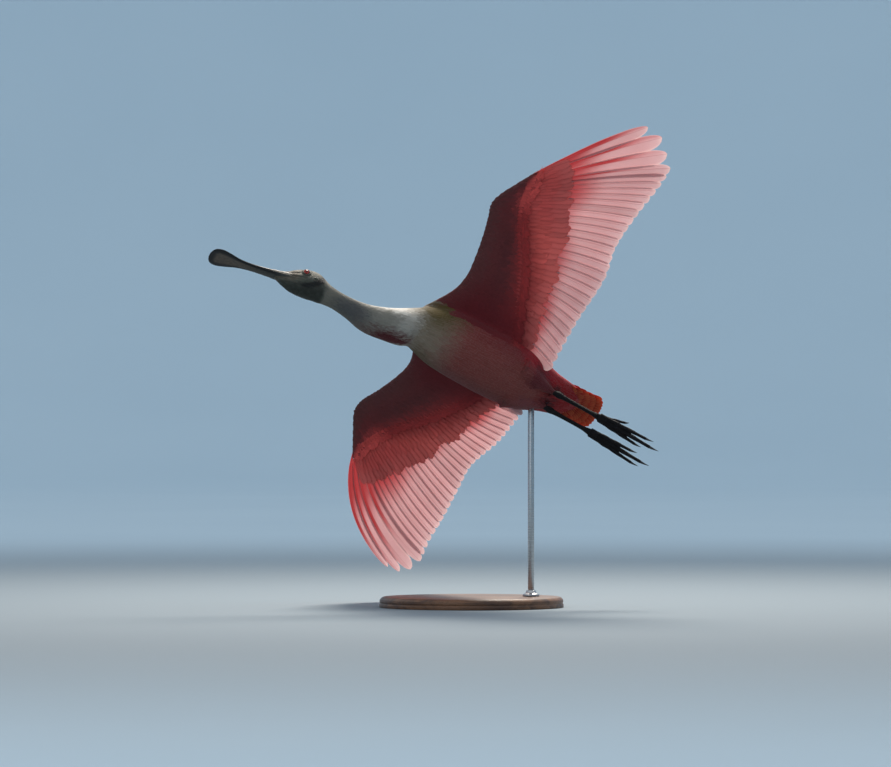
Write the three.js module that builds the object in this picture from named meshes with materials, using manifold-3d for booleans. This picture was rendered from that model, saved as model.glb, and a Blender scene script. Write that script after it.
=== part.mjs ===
// Roseate spoonbill, life size, banking in flight on a plain display stand.
// Millimetres, +Z up. The origin is the centre of the stand's underside.
// The bird is modelled level in its own frame (x forward, y to its left, z up), then banked as one group.

import * as THREE from "three";
import { mergeVertices } from "three/addons/utils/BufferGeometryUtils.js";
import Module from "manifold-3d";

const wasm = await Module();
wasm.setup();

const GAP = 0.3; // clearance between touching pieces

// Flight attitude: the bird heads to -X, climbs, and turns its belly to -Y.
const FLIGHT_HEIGHT = 482; // body centre above the floor
const HEADING = 187.3;
const CLIMB = 28.6;
const BANK = 62.5;
const BODY_OFFSET = [12, 0]; // body centre from the middle of the stand, in plan

// Torso: a spindle from the tail to the root of the neck.
const TORSO = [
  // [x, y of the centre line, half width, half height, z of the centre line]
  [-208, -3, 32, 10, 18],
  [-185, -4, 39, 18, 14],
  [-150, -4, 46, 33, 6],
  [-110, -2, 60, 50, -5],
  [-50, 0, 66, 61, -10],
  [20, 0, 66, 64, -11],
  [75, 0, 62, 60, -14],
  [110, -1, 51, 50, -19],
  [127, -1, 44, 44, -23],
];
const TORSO_STATIONS = 15;
const BODY_SIDES = 20;

// Neck and head: one sagging line of centres, with the radii and roll of the section at each.
const NECK = [
  // [x, y, z, half width, up radius, down radius, roll in degrees]
  [127, -1, -23, 44, 44, 44, 0],
  [149, -6.5, -40, 39.5, 38, 41, -3],
  [180, -12.5, -54, 34, 31, 36, -8],
  [221, -17.5, -65, 29, 25, 31, -14],
  [256, -17.5, -65, 22, 20, 23, -19],
  [290, -17, -63.5, 19.5, 18, 20.5, -23],
  [318, -17.5, -60, 21, 21, 26, -26],
  [340, -18, -58, 23, 30, 31, -26],
  [356, -20.5, -60, 23.5, 29.5, 30, -26],
  [372, -22.5, -63, 20.5, 24, 27.5, -26],
  [390, -25, -67, 15.5, 16, 19, -26],
];
const NECK_CUTS = [0, 0.34, 0.6, 1]; // shares of the line where lower neck, upper neck and head part
const NECK_SIDES = 16;

// Head frame: the bill's axis and the eyes are placed from it.
const HEAD_AT = new THREE.Vector3(348, -18, -57);
const BILL_TIP_AT = new THREE.Vector3(542, -45.5, -92);
const HEAD_ROLL = -26;
const BILL_START = 38; // along the head frame
const BILL_DROP = 3; // bill axis below the head's axis
const CHIN = [
  // [x in the head frame, half width, half height, z]: loose throat skin under the root of the bill
  [18, 17, 18, -14],
  [36, 14.5, 14.5, -13.5],
  [50, 11, 10, -11.5],
  [62, 7.5, 5.5, -8.5],
  [70, 4, 2, -6.5],
];
const BILL_OUTLINE = [
  // [share of the bill's length, half width, upper jaw depth, lower jaw depth]
  [0, 15, 12, 9.5],
  [0.12, 12.5, 9.5, 7],
  [0.3, 10.5, 5.8, 4.2],
  [0.5, 10.4, 3.6, 2.8],
  [0.65, 14, 3, 2.5],
  [0.78, 21.5, 2.8, 2.4],
  [0.88, 25.5, 2.7, 2.3],
  [0.95, 22.5, 2.5, 2.1],
  [0.985, 15, 2.1, 1.8],
  [1, 6, 1.2, 1],
];
const BILL_STATIONS = 18;
const MOUTH_LINE = 0.4;
const EYE = { radius: 6.3, forward: 13, side: 17, up: 10, lid: 1.5 };
const NOSTRIL = { forward: 50, side: 5, up: 6.5, length: 5, width: 1 };
const EAR = { forward: -6, side: 21.5, up: -3, radius: 2.6 };

// Wings: planform stops [distance out from the spine, x]. The quills leave the flesh along the quill line.
const SHOULDER_OUT = 67;
const WRIST_OUT = 258;
const HAND_END_OUT = 350;
const WING = {
  left: {
    quillLine: [[30, -52], [60, -46], [120, -22], [187, 10], [250, 50], [285, 62], [315, 66], [350, 69]],
    leading: [[30, 138], [60, 118], [92, 101], [128, 96], [183, 104], [228, 115], [253, 123],
      [277, 119], [306, 104], [350, 79]],
    trailing: [[30, -136], [60, -133], [150, -133], [240, -139], [300, -127], [380, -131], [440, -140], [480, -142]],
    fingers: [[524, -64], [520, -97], [498, -121], [478, -140]],
    outerBow: 0.03,
    handRise: 0.19,
  },
  right: {
    quillLine: [[30, -52], [60, -46], [120, -22], [187, 10], [250, 52], [285, 69], [315, 79], [350, 87]],
    leading: [[30, 135], [60, 112], [92, 103], [128, 107], [183, 123], [228, 136], [253, 136],
      [277, 127], [306, 115], [350, 99]],
    trailing: [[30, -134], [60, -131], [150, -127], [240, -111], [300, -115], [380, -121], [440, -124], [480, -130]],
    fingers: [[537, -83], [533, -107], [516, -123], [488, -130]],
    outerBow: 0.24,
    handRise: 0.15,
  },
};
const ARM_THICKNESS = [[30, 40], [67, 34], [130, 25], [200, 18], [258, 14], [300, 11.5], [350, 10.5]];
const ARM_STATIONS = 15;
const ROOT_HEIGHT = 6;
const ARM_RISE = 0.3;
const ROOT_INCIDENCE = 0.1;
const CAMBER = 9;

// Flight feathers, counted from the outermost primary to the innermost tertial.
const PRIMARIES = 10;
const SECONDARIES = 12;
const TERTIALS = 3;
const QUILL_THICK = 0.8;
const QUILL_STACK = 1.3; // height between neighbouring vanes
const COVERT_THICK = 0.6;
const COVERT_STACK = 0.95;
const COVERT_LIFT = 3; // coverts above and below the flight feathers
const ROOT_DEPTH = 13; // how far a vane's root is sunk in the flesh
const PRIMARY_ROOTS = [338, 272];
const SECONDARY_ROOTS = [262, 128];
const TERTIAL_ROOTS = [114, 74];
const INNERMOST_TIP = 56;
const COVERT_REACH = [[30, 56], [120, 60], [187, 76], [250, 95], [283, 90], [324, 62], [350, 50]];
const COVERTS = 16;
const ALULA = 3;

// Tail: twelve quills fanned from the rump, with coverts over and under the roots.
const TAIL = { rootX: -204, tipX: -261, rootHalf: 27, tipHalf: 37, height: 18, pairs: 6, stack: 1.15 };
const TAIL_COVERTS = { rootX: -204, tipX: -238, rootHalf: 26, tipHalf: 35, pairs: 3, lift: 3 };
const RUMP_END = -222;

// Legs trail under the tail.
const LEG = { side: 18, drop: -30, hip: [-82, 36, -38], thighEnd: -154, heel: -170, toeRoot: -252 };
const SHANK_RADIUS = 4.2;
const HEEL_RADIUS = 6.4;
const TOES = [
  // [length, spread in degrees towards the outside, root radius, distance of the root to the outside]
  [98, -3.5, 4.6, -5],
  [130, 0, 5, 0],
  [113, 3.5, 4.6, 5],
];
const HALLUX = { length: 66, spread: 8, radius: 4 };
const WEB_REACH = 0.5;
const CLAW_CURL = 180;

// Stand: a round wooden base and one steel rod into the rear of the belly.
const BASE = { radius: 175, height: 20, bevel: 4 };
const ROD = { radius: 6, at: [-112, 6, 8], toSurface: 58, sink: 26 }; // the body point on its axis
const COLLAR = { radius: 16, height: 12 };
const ROUND = 32;

const materials = {
  pink: new THREE.MeshStandardMaterial({ color: 0xe59a9c, roughness: 0.75, metalness: 0 }),
  wing: new THREE.MeshStandardMaterial({ color: 0xd9737a, roughness: 0.7, metalness: 0 }),
  carmine: new THREE.MeshStandardMaterial({ color: 0xb52a33, roughness: 0.75, metalness: 0 }),
  tail: new THREE.MeshStandardMaterial({ color: 0xc9582f, roughness: 0.7, metalness: 0 }),
  white: new THREE.MeshStandardMaterial({ color: 0xece7de, roughness: 0.8, metalness: 0 }),
  skin: new THREE.MeshStandardMaterial({ color: 0x9ba08e, roughness: 0.6, metalness: 0 }),
  bill: new THREE.MeshStandardMaterial({ color: 0x6d6a60, roughness: 0.5, metalness: 0 }),
  eye: new THREE.MeshStandardMaterial({ color: 0xa31b17, roughness: 0.1, metalness: 0 }),
  leg: new THREE.MeshStandardMaterial({ color: 0x2e2a2d, roughness: 0.6, metalness: 0 }),
  wood: new THREE.MeshStandardMaterial({ color: 0x5d4433, roughness: 0.5, metalness: 0 }),
  steel: new THREE.MeshStandardMaterial({ color: 0xb9bbbd, roughness: 0.3, metalness: 1 }),
};

const radians = THREE.MathUtils.degToRad;
const lerp = THREE.MathUtils.lerp;
const V3 = (x, y, z) => new THREE.Vector3(x, y, z);

// Smooth value along a table of stops [t, value, ...]: one number, or an array where a stop has several.
function along(stops, t) {
  const last = stops.length - 1;
  const x = THREE.MathUtils.clamp(t, stops[0][0], stops[last][0]);
  let i = 0;
  while (i < last - 1 && x > stops[i + 1][0]) i++;
  const slope = (k, j) => {
    const a = stops[Math.max(k - 1, 0)];
    const b = stops[Math.min(k + 1, last)];
    return (b[j] - a[j]) / (b[0] - a[0]);
  };
  const [p, q] = [stops[i], stops[i + 1]];
  const h = q[0] - p[0];
  const u = (x - p[0]) / h;
  const values = p.slice(1).map((_, n) => {
    const j = n + 1;
    return (
      p[j] * (1 + 2 * u) * (1 - u) ** 2 +
      q[j] * (3 - 2 * u) * u ** 2 +
      h * u * (1 - u) * (slope(i, j) * (1 - u) - slope(i + 1, j) * u)
    );
  });
  return values.length === 1 ? values[0] : values;
}

// A closed manifold solid from a three.js geometry.
function solid(geometry, mirrored = false) {
  const bare = new THREE.BufferGeometry();
  bare.setAttribute("position", geometry.getAttribute("position").clone());
  if (geometry.index) bare.setIndex(geometry.index.clone());
  if (mirrored) bare.applyMatrix4(new THREE.Matrix4().makeScale(1, -1, 1));
  const merged = mergeVertices(bare, 1e-3);
  const corners = merged.index.array;
  const kept = [];
  for (let i = 0; i < corners.length; i += 3) {
    const [a, b, c] = corners.slice(i, i + 3);
    if (a !== b && b !== c && c !== a) kept.push(...(mirrored ? [a, c, b] : [a, b, c]));
  }
  const triVerts = new Uint32Array(kept);
  const vertProperties = new Float32Array(merged.attributes.position.array);
  return new wasm.Manifold(new wasm.Mesh({ numProp: 3, vertProperties, triVerts }));
}

function join(solids) {
  return solids.reduce((a, b) => a.add(b));
}

function largest(made) {
  return made.decompose().reduce((a, b) => (b.volume() > a.volume() ? b : a));
}

// A named mesh of the largest closed surface of a solid.
function node(name, made, material) {
  const m = largest(made).getMesh();
  const positions = new Float32Array(m.numVert * 3);
  for (let i = 0; i < m.numVert; i++) {
    positions.set(m.vertProperties.subarray(i * m.numProp, i * m.numProp + 3), i * 3);
  }
  const geometry = new THREE.BufferGeometry();
  geometry.setAttribute("position", new THREE.BufferAttribute(positions, 3));
  geometry.setIndex(new THREE.BufferAttribute(new Uint32Array(m.triVerts), 1));
  geometry.computeVertexNormals();
  const mesh = new THREE.Mesh(geometry, material);
  mesh.name = name;
  return mesh;
}

// A closed surface through rings of points that turn the same way round, with fans at both ends.
function loft(rings) {
  const sides = rings[0].length;
  const points = rings.flat();
  const faces = [];
  for (let i = 0; i < rings.length - 1; i++) {
    for (let j = 0; j < sides; j++) {
      const a = i * sides + j;
      const b = i * sides + ((j + 1) % sides);
      faces.push(a, b, b + sides, a, b + sides, a + sides);
    }
  }
  const centre = (ring) => ring.reduce((sum, p) => sum.add(p), V3(0, 0, 0)).divideScalar(sides);
  const first = points.push(centre(rings[0])) - 1;
  const end = points.push(centre(rings[rings.length - 1])) - 1;
  const base = (rings.length - 1) * sides;
  for (let j = 0; j < sides; j++) {
    const k = (j + 1) % sides;
    faces.push(first, k, j, end, base + j, base + k);
  }
  return new THREE.BufferGeometry().setFromPoints(points).setIndex(faces);
}

// An oval ring round a centre: side and up are unit vectors, and forward is side x up.
function oval(centre, side, up, halfWidth, above, below, sides) {
  return Array.from({ length: sides }, (_, i) => {
    const angle = (2 * Math.PI * i) / sides;
    const height = Math.sin(angle) * (Math.sin(angle) > 0 ? above : below);
    return centre.clone().addScaledVector(side, Math.cos(angle) * halfWidth).addScaledVector(up, height);
  });
}

// Half-space block on the side of a plane that its normal points to.
function beyond(point, normal) {
  const size = 2400;
  const block = new THREE.BoxGeometry(size, size, size);
  const matrix = new THREE.Matrix4().makeTranslation(0, 0, size / 2);
  const turn = new THREE.Quaternion().setFromUnitVectors(V3(0, 0, 1), normal.clone().normalize());
  const place = new THREE.Matrix4().compose(point, turn, V3(1, 1, 1));
  return solid(block.applyMatrix4(place.multiply(matrix)));
}

// Torso, and the same shape grown by the clearance for cutting what grows from it.
function torsoSolid(grow = 0) {
  const [from, to] = [TORSO[0][0], TORSO[TORSO.length - 1][0]];
  const rings = Array.from({ length: TORSO_STATIONS }, (_, i) => {
    const x = lerp(from, to, i / (TORSO_STATIONS - 1));
    const [y, halfWidth, halfHeight, rise] = along(TORSO, x);
    const end = i === 0 ? -grow : i === TORSO_STATIONS - 1 ? grow : 0;
    return oval(V3(x + end, y, rise), V3(0, 1, 0), V3(0, 0, 1), halfWidth + grow, halfHeight + grow,
      halfHeight + grow, BODY_SIDES);
  });
  return solid(loft(rings));
}

// One ring of the neck and head line at a share t of its length. The first rings stay square to the body.
const neckLine = new THREE.CatmullRomCurve3(NECK.map(([x, y, z]) => V3(x, y, z)));
function neckRing(t, grow = 0) {
  const centre = neckLine.getPoint(t);
  const forward = V3(1, 0, 0).lerp(neckLine.getTangent(t), THREE.MathUtils.smoothstep(t, 0, 0.25)).normalize();
  const stops = NECK.map((row, i) => [i / (NECK.length - 1), ...row.slice(3)]);
  const [halfWidth, above, below, roll] = along(stops, t);
  const up = V3(0, 0, 1).addScaledVector(forward, -forward.z).normalize();
  up.applyAxisAngle(forward, radians(roll));
  const side = up.clone().cross(forward).normalize();
  return oval(centre, side, up, halfWidth + grow, above + grow, below + grow, NECK_SIDES);
}

function neckLength(from, to, stations, grow = 0) {
  const start = from + (GAP - grow) / neckLine.getLength();
  const rings = Array.from({ length: stations }, (_, i) => neckRing(lerp(start, to, i / (stations - 1)), grow));
  return solid(loft(rings));
}

// The head's own frame: x along the bill, y to its left, z to the crown.
function headMatrix() {
  const forward = BILL_TIP_AT.clone().sub(HEAD_AT).normalize();
  const up = V3(0, 0, 1).addScaledVector(forward, -forward.z).normalize();
  up.applyAxisAngle(forward, radians(HEAD_ROLL));
  const side = up.clone().cross(forward);
  return new THREE.Matrix4().makeBasis(forward, side, up).setPosition(HEAD_AT);
}
const inHead = (geometry) => geometry.applyMatrix4(headMatrix());
const headPoint = (x, y, z) => V3(x, y, z).applyMatrix4(headMatrix());

// One jaw: flat along the mouth line and domed on the other side.
function jawSolid(upper, grow = 0) {
  const length = BILL_TIP_AT.distanceTo(HEAD_AT) - BILL_START;
  const rings = Array.from({ length: BILL_STATIONS }, (_, i) => {
    const share = 1 - (1 - i / (BILL_STATIONS - 1)) ** 1.6;
    const [halfWidth, over, under] = along(BILL_OUTLINE, share);
    const depth = (upper ? over : under) + 2 * grow;
    const wide = halfWidth + grow;
    const edge = MOUTH_LINE / 2 - grow;
    const x = BILL_START + share * length - (i === 0 ? grow : 0);
    const profile = [[-1, 0], [-0.8, 0.62], [-0.35, 0.94], [0, 1], [0.35, 0.94], [0.8, 0.62], [1, 0]];
    const sign = upper ? 1 : -1;
    const ring = profile.map(([y, z]) => V3(x, y * wide, sign * (edge + z * depth) - BILL_DROP));
    return upper ? ring.reverse() : ring;
  });
  let jaw = solid(inHead(loft(rings)));
  if (!upper || grow > 0) return jaw;
  for (const side of [1, -1]) {
    const slit = new THREE.SphereGeometry(1, 8, 4).scale(NOSTRIL.length, NOSTRIL.width, 2.4);
    jaw = jaw.subtract(solid(inHead(slit.translate(NOSTRIL.forward, side * NOSTRIL.side, NOSTRIL.up))));
  }
  return jaw;
}

// A ball in the head's frame; at the eye it is turned so that its poles point fore and aft.
function headBall(radius, { forward, side, up }, sign, flatten = 1) {
  const ball = new THREE.SphereGeometry(radius, 12, 8).rotateZ(Math.PI / 2).scale(1, flatten, 1);
  return solid(inHead(ball.translate(forward, sign * side, up)));
}

function headSolid() {
  const chin = CHIN.map(([x, w, h, z]) => oval(V3(x, 0, z), V3(0, 1, 0), V3(0, 0, 1), w, h, h, 12));
  let head = neckLength(NECK_CUTS[2], NECK_CUTS[3], 11).add(solid(inHead(loft(chin))));
  for (const sign of [1, -1]) {
    head = head.add(headBall(EYE.radius + EYE.lid, EYE, sign, 0.78));
    head = head.subtract(headBall(EYE.radius + GAP, EYE, sign));
    head = head.subtract(headBall(EAR.radius, EAR, sign));
  }
  return head.subtract(jawSolid(true, GAP)).subtract(jawSolid(false, GAP));
}

// Height of the wing sheet at a planform point: dihedral, incidence at the root and camber.
function wingHeight(shape, x, out) {
  const arm = Math.min(out, WRIST_OUT) - SHOULDER_OUT;
  const hand = Math.max(out, WRIST_OUT) - WRIST_OUT;
  const twist = ROOT_INCIDENCE * THREE.MathUtils.clamp(1 - arm / (WRIST_OUT - SHOULDER_OUT), 0, 1.2);
  const front = along(shape.leading, out);
  const back = along(shape.trailing, out);
  const share = THREE.MathUtils.clamp((x - back) / (front - back), -0.3, 1.2);
  const fade = THREE.MathUtils.clamp(1 - hand / 180, 0.25, 1);
  return ROOT_HEIGHT + ARM_RISE * arm + shape.handRise * hand + twist * (x - 90) + CAMBER * fade * 4 * share * (1 - share);
}

// The flesh and small coverts of the arm and hand, ending where the quills leave it.
function armSolid(shape) {
  const section = [[0, 0], [0.1, 0.36], [0.3, 0.5], [0.62, 0.47], [1, 0.4], [1, -0.4], [0.62, -0.44], [0.3, -0.44],
    [0.1, -0.3]];
  const rings = Array.from({ length: ARM_STATIONS }, (_, i) => {
    const out = lerp(SHOULDER_OUT - 37, HAND_END_OUT, i / (ARM_STATIONS - 1));
    const front = along(shape.leading, out);
    const back = along(shape.quillLine, out);
    const thick = Math.max(along(ARM_THICKNESS, out), 10.4);
    return section.map(([share, height]) => {
      const x = lerp(front, back, share);
      const edge = share === 1 ? Math.sign(height) * 5.3 : height * thick;
      return V3(x, out, wingHeight(shape, x, out) + edge);
    });
  });
  return loft(rings.map((ring) => ring.reverse()));
}

// A feather vane: a thin plate along a bowed shaft, drawn in plan as (x, distance out).
// Its two faces are split alike, and it tilts so that each vane clears its neighbours by the stack height.
function vane({ curve, spacing, overlap = 1.5, limit = 30, rootWidth = 14, tipLength = 14, stack, thick, lift, height,
  stations, blunt = 0.4 }) {
  const points = [];
  const tip = 1 - tipLength / curve.getLength();
  const shares = Array.from({ length: stations - 2 }, (_, k) => (tip * k) / (stations - 3));
  shares.push(lerp(tip, 1, 0.65), 1);
  for (const [k, s] of shares.entries()) {
    const at = curve.getPoint(s);
    const tangent = curve.getTangent(s);
    const across = new THREE.Vector2(tangent.y, -tangent.x);
    const step = spacing(s);
    const taper = [blunt, 0.82][stations - 1 - k] ?? 1;
    const broad = Math.min(overlap * step, limit);
    const full = taper * Math.min(lerp(rootWidth, broad, Math.min(1, s / 0.4)), broad);
    for (const d of [0.35 * full, -0.65 * full]) {
      const p = at.clone().addScaledVector(across, d);
      const z = height(p.x, p.y) + lift + (stack * d) / step;
      points.push(V3(p.x, p.y, z + thick / 2), V3(p.x, p.y, z - thick / 2));
    }
  }
  const faces = [];
  const quad = (a, b, c, d) => faces.push(a, b, c, a, c, d);
  for (let k = 0; k < stations - 1; k++) {
    const [a, b, c, d] = [4 * k, 4 * k + 2, 4 * k + 6, 4 * k + 4];
    faces.push(a, d, c, a, c, b);
    faces.push(a + 1, c + 1, d + 1, a + 1, b + 1, c + 1);
    quad(a, a + 1, d + 1, d);
    quad(b, c, c + 1, b + 1);
  }
  const e = 4 * (stations - 1);
  quad(0, 2, 3, 1);
  quad(e, e + 1, e + 3, e + 2);
  return new THREE.BufferGeometry().setFromPoints(points).setIndex(faces);
}

// A shaft in plan from root to tip, bowed towards its leading side.
function shaft(root, tip, bow) {
  const way = tip.clone().sub(root);
  const control = root.clone().add(tip).multiplyScalar(0.5).add(new THREE.Vector2(way.y, -way.x).multiplyScalar(bow));
  return new THREE.QuadraticBezierCurve(root, control, tip);
}

// Distance between neighbouring shafts, square to the shaft of number i.
function shaftSpacing(shafts, i) {
  const [low, high] = [Math.max(i - 1, 0), Math.min(i + 1, shafts.length - 1)];
  return (s) => {
    const apart = shafts[low].getPoint(s).sub(shafts[high].getPoint(s));
    return Math.max(Math.abs(apart.cross(shafts[i].getTangent(s))) / (high - low), 1.5);
  };
}

// Shafts of every flight feather of a wing, outermost first.
function remiges(shape) {
  const count = PRIMARIES + SECONDARIES + TERTIALS;
  const [edge] = shape.fingers[shape.fingers.length - 1];
  const rootOut = (i) => {
    if (i < PRIMARIES) return lerp(...PRIMARY_ROOTS, i / (PRIMARIES - 1));
    if (i < PRIMARIES + SECONDARIES) return lerp(...SECONDARY_ROOTS, (i - PRIMARIES) / (SECONDARIES - 1));
    return lerp(...TERTIAL_ROOTS, (i - PRIMARIES - SECONDARIES) / (TERTIALS - 1));
  };
  return Array.from({ length: count }, (_, i) => {
    const out = rootOut(i);
    const root = new THREE.Vector2(along(shape.quillLine, out) + ROOT_DEPTH, out);
    const tipOut = lerp(edge, INNERMOST_TIP, (i - shape.fingers.length + 1) / (count - shape.fingers.length));
    const [fingerOut, fingerX] = shape.fingers[i] ?? [tipOut, along(shape.trailing, tipOut)];
    const bow = lerp(shape.outerBow, 0.07, Math.min(i / PRIMARIES, 1));
    return shaft(root, new THREE.Vector2(fingerX, fingerOut), bow);
  });
}

function flightVanes(shape, height) {
  const shafts = remiges(shape);
  return shafts.map((curve, i) => vane({ curve, spacing: shaftSpacing(shafts, i), stack: QUILL_STACK,
    thick: QUILL_THICK, lift: 0, height, stations: 6, tipLength: Math.max(38 - 5 * i, 13), limit: i ? 30 : 23 }));
}

// Greater coverts follow the flight feathers and hide their roots, over (+1) or under (-1) the wing.
function covertVanes(shape, height, face) {
  const quills = remiges(shape);
  const shafts = Array.from({ length: COVERTS }, (_, i) => {
    const at = ((i + 0.5) / COVERTS) * (quills.length - 1);
    const k = Math.floor(at);
    const root = quills[k].v0.clone().lerp(quills[k + 1].v0, at - k);
    const tip = quills[k].v2.clone().lerp(quills[k + 1].v2, at - k);
    const reach = along(COVERT_REACH, root.y) + ROOT_DEPTH;
    return shaft(root, root.clone().addScaledVector(tip.sub(root).normalize(), reach), 0.04);
  });
  return shafts.map((curve, i) => vane({ curve, spacing: shaftSpacing(shafts, i), stack: COVERT_STACK,
    thick: COVERT_THICK, lift: face * COVERT_LIFT, height, stations: 4, tipLength: 10 }));
}

// The bastard wing: short quills along the leading edge of the hand.
function alulaVanes(shape, height) {
  const shafts = Array.from({ length: ALULA }, (_, i) => {
    const out = WRIST_OUT + 10 + 6 * i;
    const tipOut = out + 64 - 13 * i;
    const root = new THREE.Vector2(along(shape.leading, out) - 12 - 5 * i, out);
    const tip = new THREE.Vector2(along(shape.leading, tipOut) - 5 - 6 * i, tipOut);
    return shaft(root, tip, 0.05);
  });
  return shafts.map((curve, i) => vane({ curve, spacing: () => 7, rootWidth: 7, stack: 0.7,
    thick: QUILL_THICK, lift: 5.2 + 0.9 * i, height, stations: 4 }));
}

// Both parts of a wing, parted by a thin cut from the wrist to the trailing edge.
function wingSolids(side) {
  const shape = WING[side];
  const mirrored = side === "right";
  const height = (x, out) => wingHeight(shape, x, out);
  const vanes = [...flightVanes(shape, height), ...covertVanes(shape, height, 1), ...covertVanes(shape, height, -1),
    ...alulaVanes(shape, height)];
  const whole = join([armSolid(shape), ...vanes].map((g) => solid(g, mirrored)));
  const [last, first] = remiges(shape).slice(PRIMARIES - 1, PRIMARIES + 1);
  const front = last.v0.clone().lerp(first.v0, 0.5);
  const back = last.v2.clone().lerp(first.v2, 0.5);
  const flip = mirrored ? -1 : 1;
  const point = V3(front.x, flip * front.y, 0);
  const outward = V3(back.y - front.y, flip * (front.x - back.x), 0).normalize();
  const half = outward.clone().multiplyScalar(GAP / 2);
  return {
    hand: whole.intersect(beyond(point.clone().add(half), outward)),
    arm: whole.intersect(beyond(point.clone().sub(half), outward.clone().negate())),
  };
}

// Tail: the rump beyond the torso, with pairs of quills and of coverts over and under their roots.
function tailSolid() {
  const height = (x, y) => TAIL.height - 0.004 * y * y;
  const rings = [[RUMP_END, 27, 4.4], [-216, 30, 6.6], [-208, 31, 9], [-200, 31, 10]].map(([x, w, h]) =>
    oval(V3(x, 0, TAIL.height), V3(0, 1, 0), V3(0, 0, 1), w, h, h, 12));
  const fan = ({ rootX, tipX, rootHalf, tipHalf, pairs }) => Array.from({ length: pairs }, (_, i) => {
    const share = (i + 0.5) / pairs;
    return shaft(new THREE.Vector2(rootX, share * rootHalf), new THREE.Vector2(tipX + 5 * share * share, share * tipHalf), 0);
  }).reverse();
  const vanes = (shafts, options) => shafts.map((curve, i) => vane({ curve, spacing: shaftSpacing(shafts, i),
    height, rootWidth: 5, stations: 4, tipLength: 9, limit: 16, overlap: 2, ...options }));
  const pieces = [solid(loft(rings))];
  const quills = vanes(fan(TAIL), { stack: TAIL.stack, thick: QUILL_THICK, lift: 0 });
  const coverts = [1, -1].flatMap((face) => vanes(fan(TAIL_COVERTS), { stack: COVERT_STACK, thick: COVERT_THICK,
    lift: face * TAIL_COVERTS.lift }));
  for (const geometry of [...quills, ...coverts]) pieces.push(solid(geometry), solid(geometry, true));
  return join(pieces);
}

// Feathered thigh, from the hip in the flank to just above the heel.
function thighSolid(side, grow = 0) {
  const line = new THREE.CatmullRomCurve3([
    V3(LEG.hip[0], side * LEG.hip[1], LEG.hip[2]),
    V3(LEG.hip[0] - 38, side * (LEG.side + 8), LEG.drop - 6),
    V3(LEG.thighEnd, side * LEG.side, LEG.drop),
  ]);
  const rings = Array.from({ length: 7 }, (_, i) => {
    const t = i / 6;
    const r = lerp(25, 7.5, t ** 0.8) + grow;
    return oval(line.getPoint(t), V3(0, -1, 0), V3(0, 0, 1), r, r, r, 12);
  });
  return solid(loft(rings));
}

// Scaled shank from the bare end of the shin, through the heel, to the root of the toes.
function shankSolid(side) {
  const stops = [
    [LEG.thighEnd - GAP, SHANK_RADIUS + 0.4],
    [LEG.heel + 9, SHANK_RADIUS + 0.6],
    [LEG.heel, HEEL_RADIUS],
    [LEG.heel - 10, SHANK_RADIUS + 0.6],
    [LEG.heel - 40, SHANK_RADIUS - 0.4],
    [LEG.toeRoot + 10, SHANK_RADIUS],
    [LEG.toeRoot, HEEL_RADIUS - 0.8],
  ];
  const rings = stops.map(([x, r]) => oval(V3(x, side * LEG.side, LEG.drop), V3(0, -1, 0), V3(0, 0, 1), r, r * 1.15, r * 1.15, 10));
  return solid(loft(rings));
}

// A toe: a tapered tube with knuckles that ends in a claw.
function toe(root, direction, length, radius) {
  const forward = direction.clone().normalize();
  const side = V3(0, 0, 1).cross(forward).normalize();
  const up = forward.clone().cross(side);
  const shape = [[0, 1], [0.2, 0.82], [0.3, 0.95], [0.42, 0.76], [0.55, 0.86], [0.7, 0.66], [0.84, 0.66], [0.9, 0.42], [1, 0.08]];
  const rings = shape.map(([t, r]) => {
    const curl = CLAW_CURL * Math.max(t - 0.84, 0) ** 2;
    const at = root.clone().addScaledVector(forward, t * length).addScaledVector(up, curl);
    return oval(at, side, up, r * radius, r * radius, r * radius, 6);
  });
  return solid(loft(rings));
}

function footSolid(side) {
  const root = V3(LEG.toeRoot - GAP, side * LEG.side, LEG.drop);
  const pad = oval(root, V3(0, -1, 0), V3(0, 0, 1), HEEL_RADIUS - 0.8, HEEL_RADIUS, HEEL_RADIUS, 10);
  const padEnd = oval(root.clone().add(V3(-20, 0, -1)), V3(0, -1, 0), V3(0, 0, 1), 10, 5, 5, 10);
  const pieces = [solid(loft([pad, padEnd]))];
  const start = root.clone().add(V3(-6, 0, -0.5));
  const ends = TOES.map(([length, spread, radius, apart]) => {
    const way = V3(-1, 0, -0.07).applyAxisAngle(V3(0, 0, 1), -side * radians(spread));
    const from = start.clone().add(V3(0, side * apart, 0));
    pieces.push(toe(from, way, length, radius));
    return from.addScaledVector(way, length * WEB_REACH);
  });
  const back = V3(-1, 0, 0.34).applyAxisAngle(V3(0, 0, 1), -side * radians(HALLUX.spread));
  pieces.push(toe(start.clone().add(V3(2, 0, 2)), back, HALLUX.length, HALLUX.radius));
  for (let i = 0; i < ends.length - 1; i++) {
    const web = [start, ends[i], ends[i + 1]];
    const rings = [1, -1].map((s) => web.map((p) => p.clone().add(V3(0, 0, s * 0.6))));
    const turned = side > 0 ? rings : rings.reverse();
    pieces.push(solid(loft(turned)));
  }
  return join(pieces);
}

const bird = new THREE.Group();
bird.rotation.set(radians(BANK), radians(-CLIMB), radians(HEADING), "ZYX");
bird.position.set(...BODY_OFFSET, FLIGHT_HEIGHT);
bird.updateMatrix();

// The rod stands upright from the base into a socket in the belly.
const rodTop = V3(...ROD.at).applyMatrix4(bird.matrix);
const rodFoot = V3(rodTop.x, rodTop.y, BASE.height);
const rodEnd = rodTop.z - ROD.toSurface + ROD.sink;

function rodSolid(grow = 0) {
  const [low, high] = [rodFoot.z + GAP, rodEnd + grow];
  const rod = new THREE.CylinderGeometry(ROD.radius + grow, ROD.radius + grow, high - low, 20);
  return rod.rotateX(Math.PI / 2).translate(rodFoot.x, rodFoot.y, (high + low) / 2);
}

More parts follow.
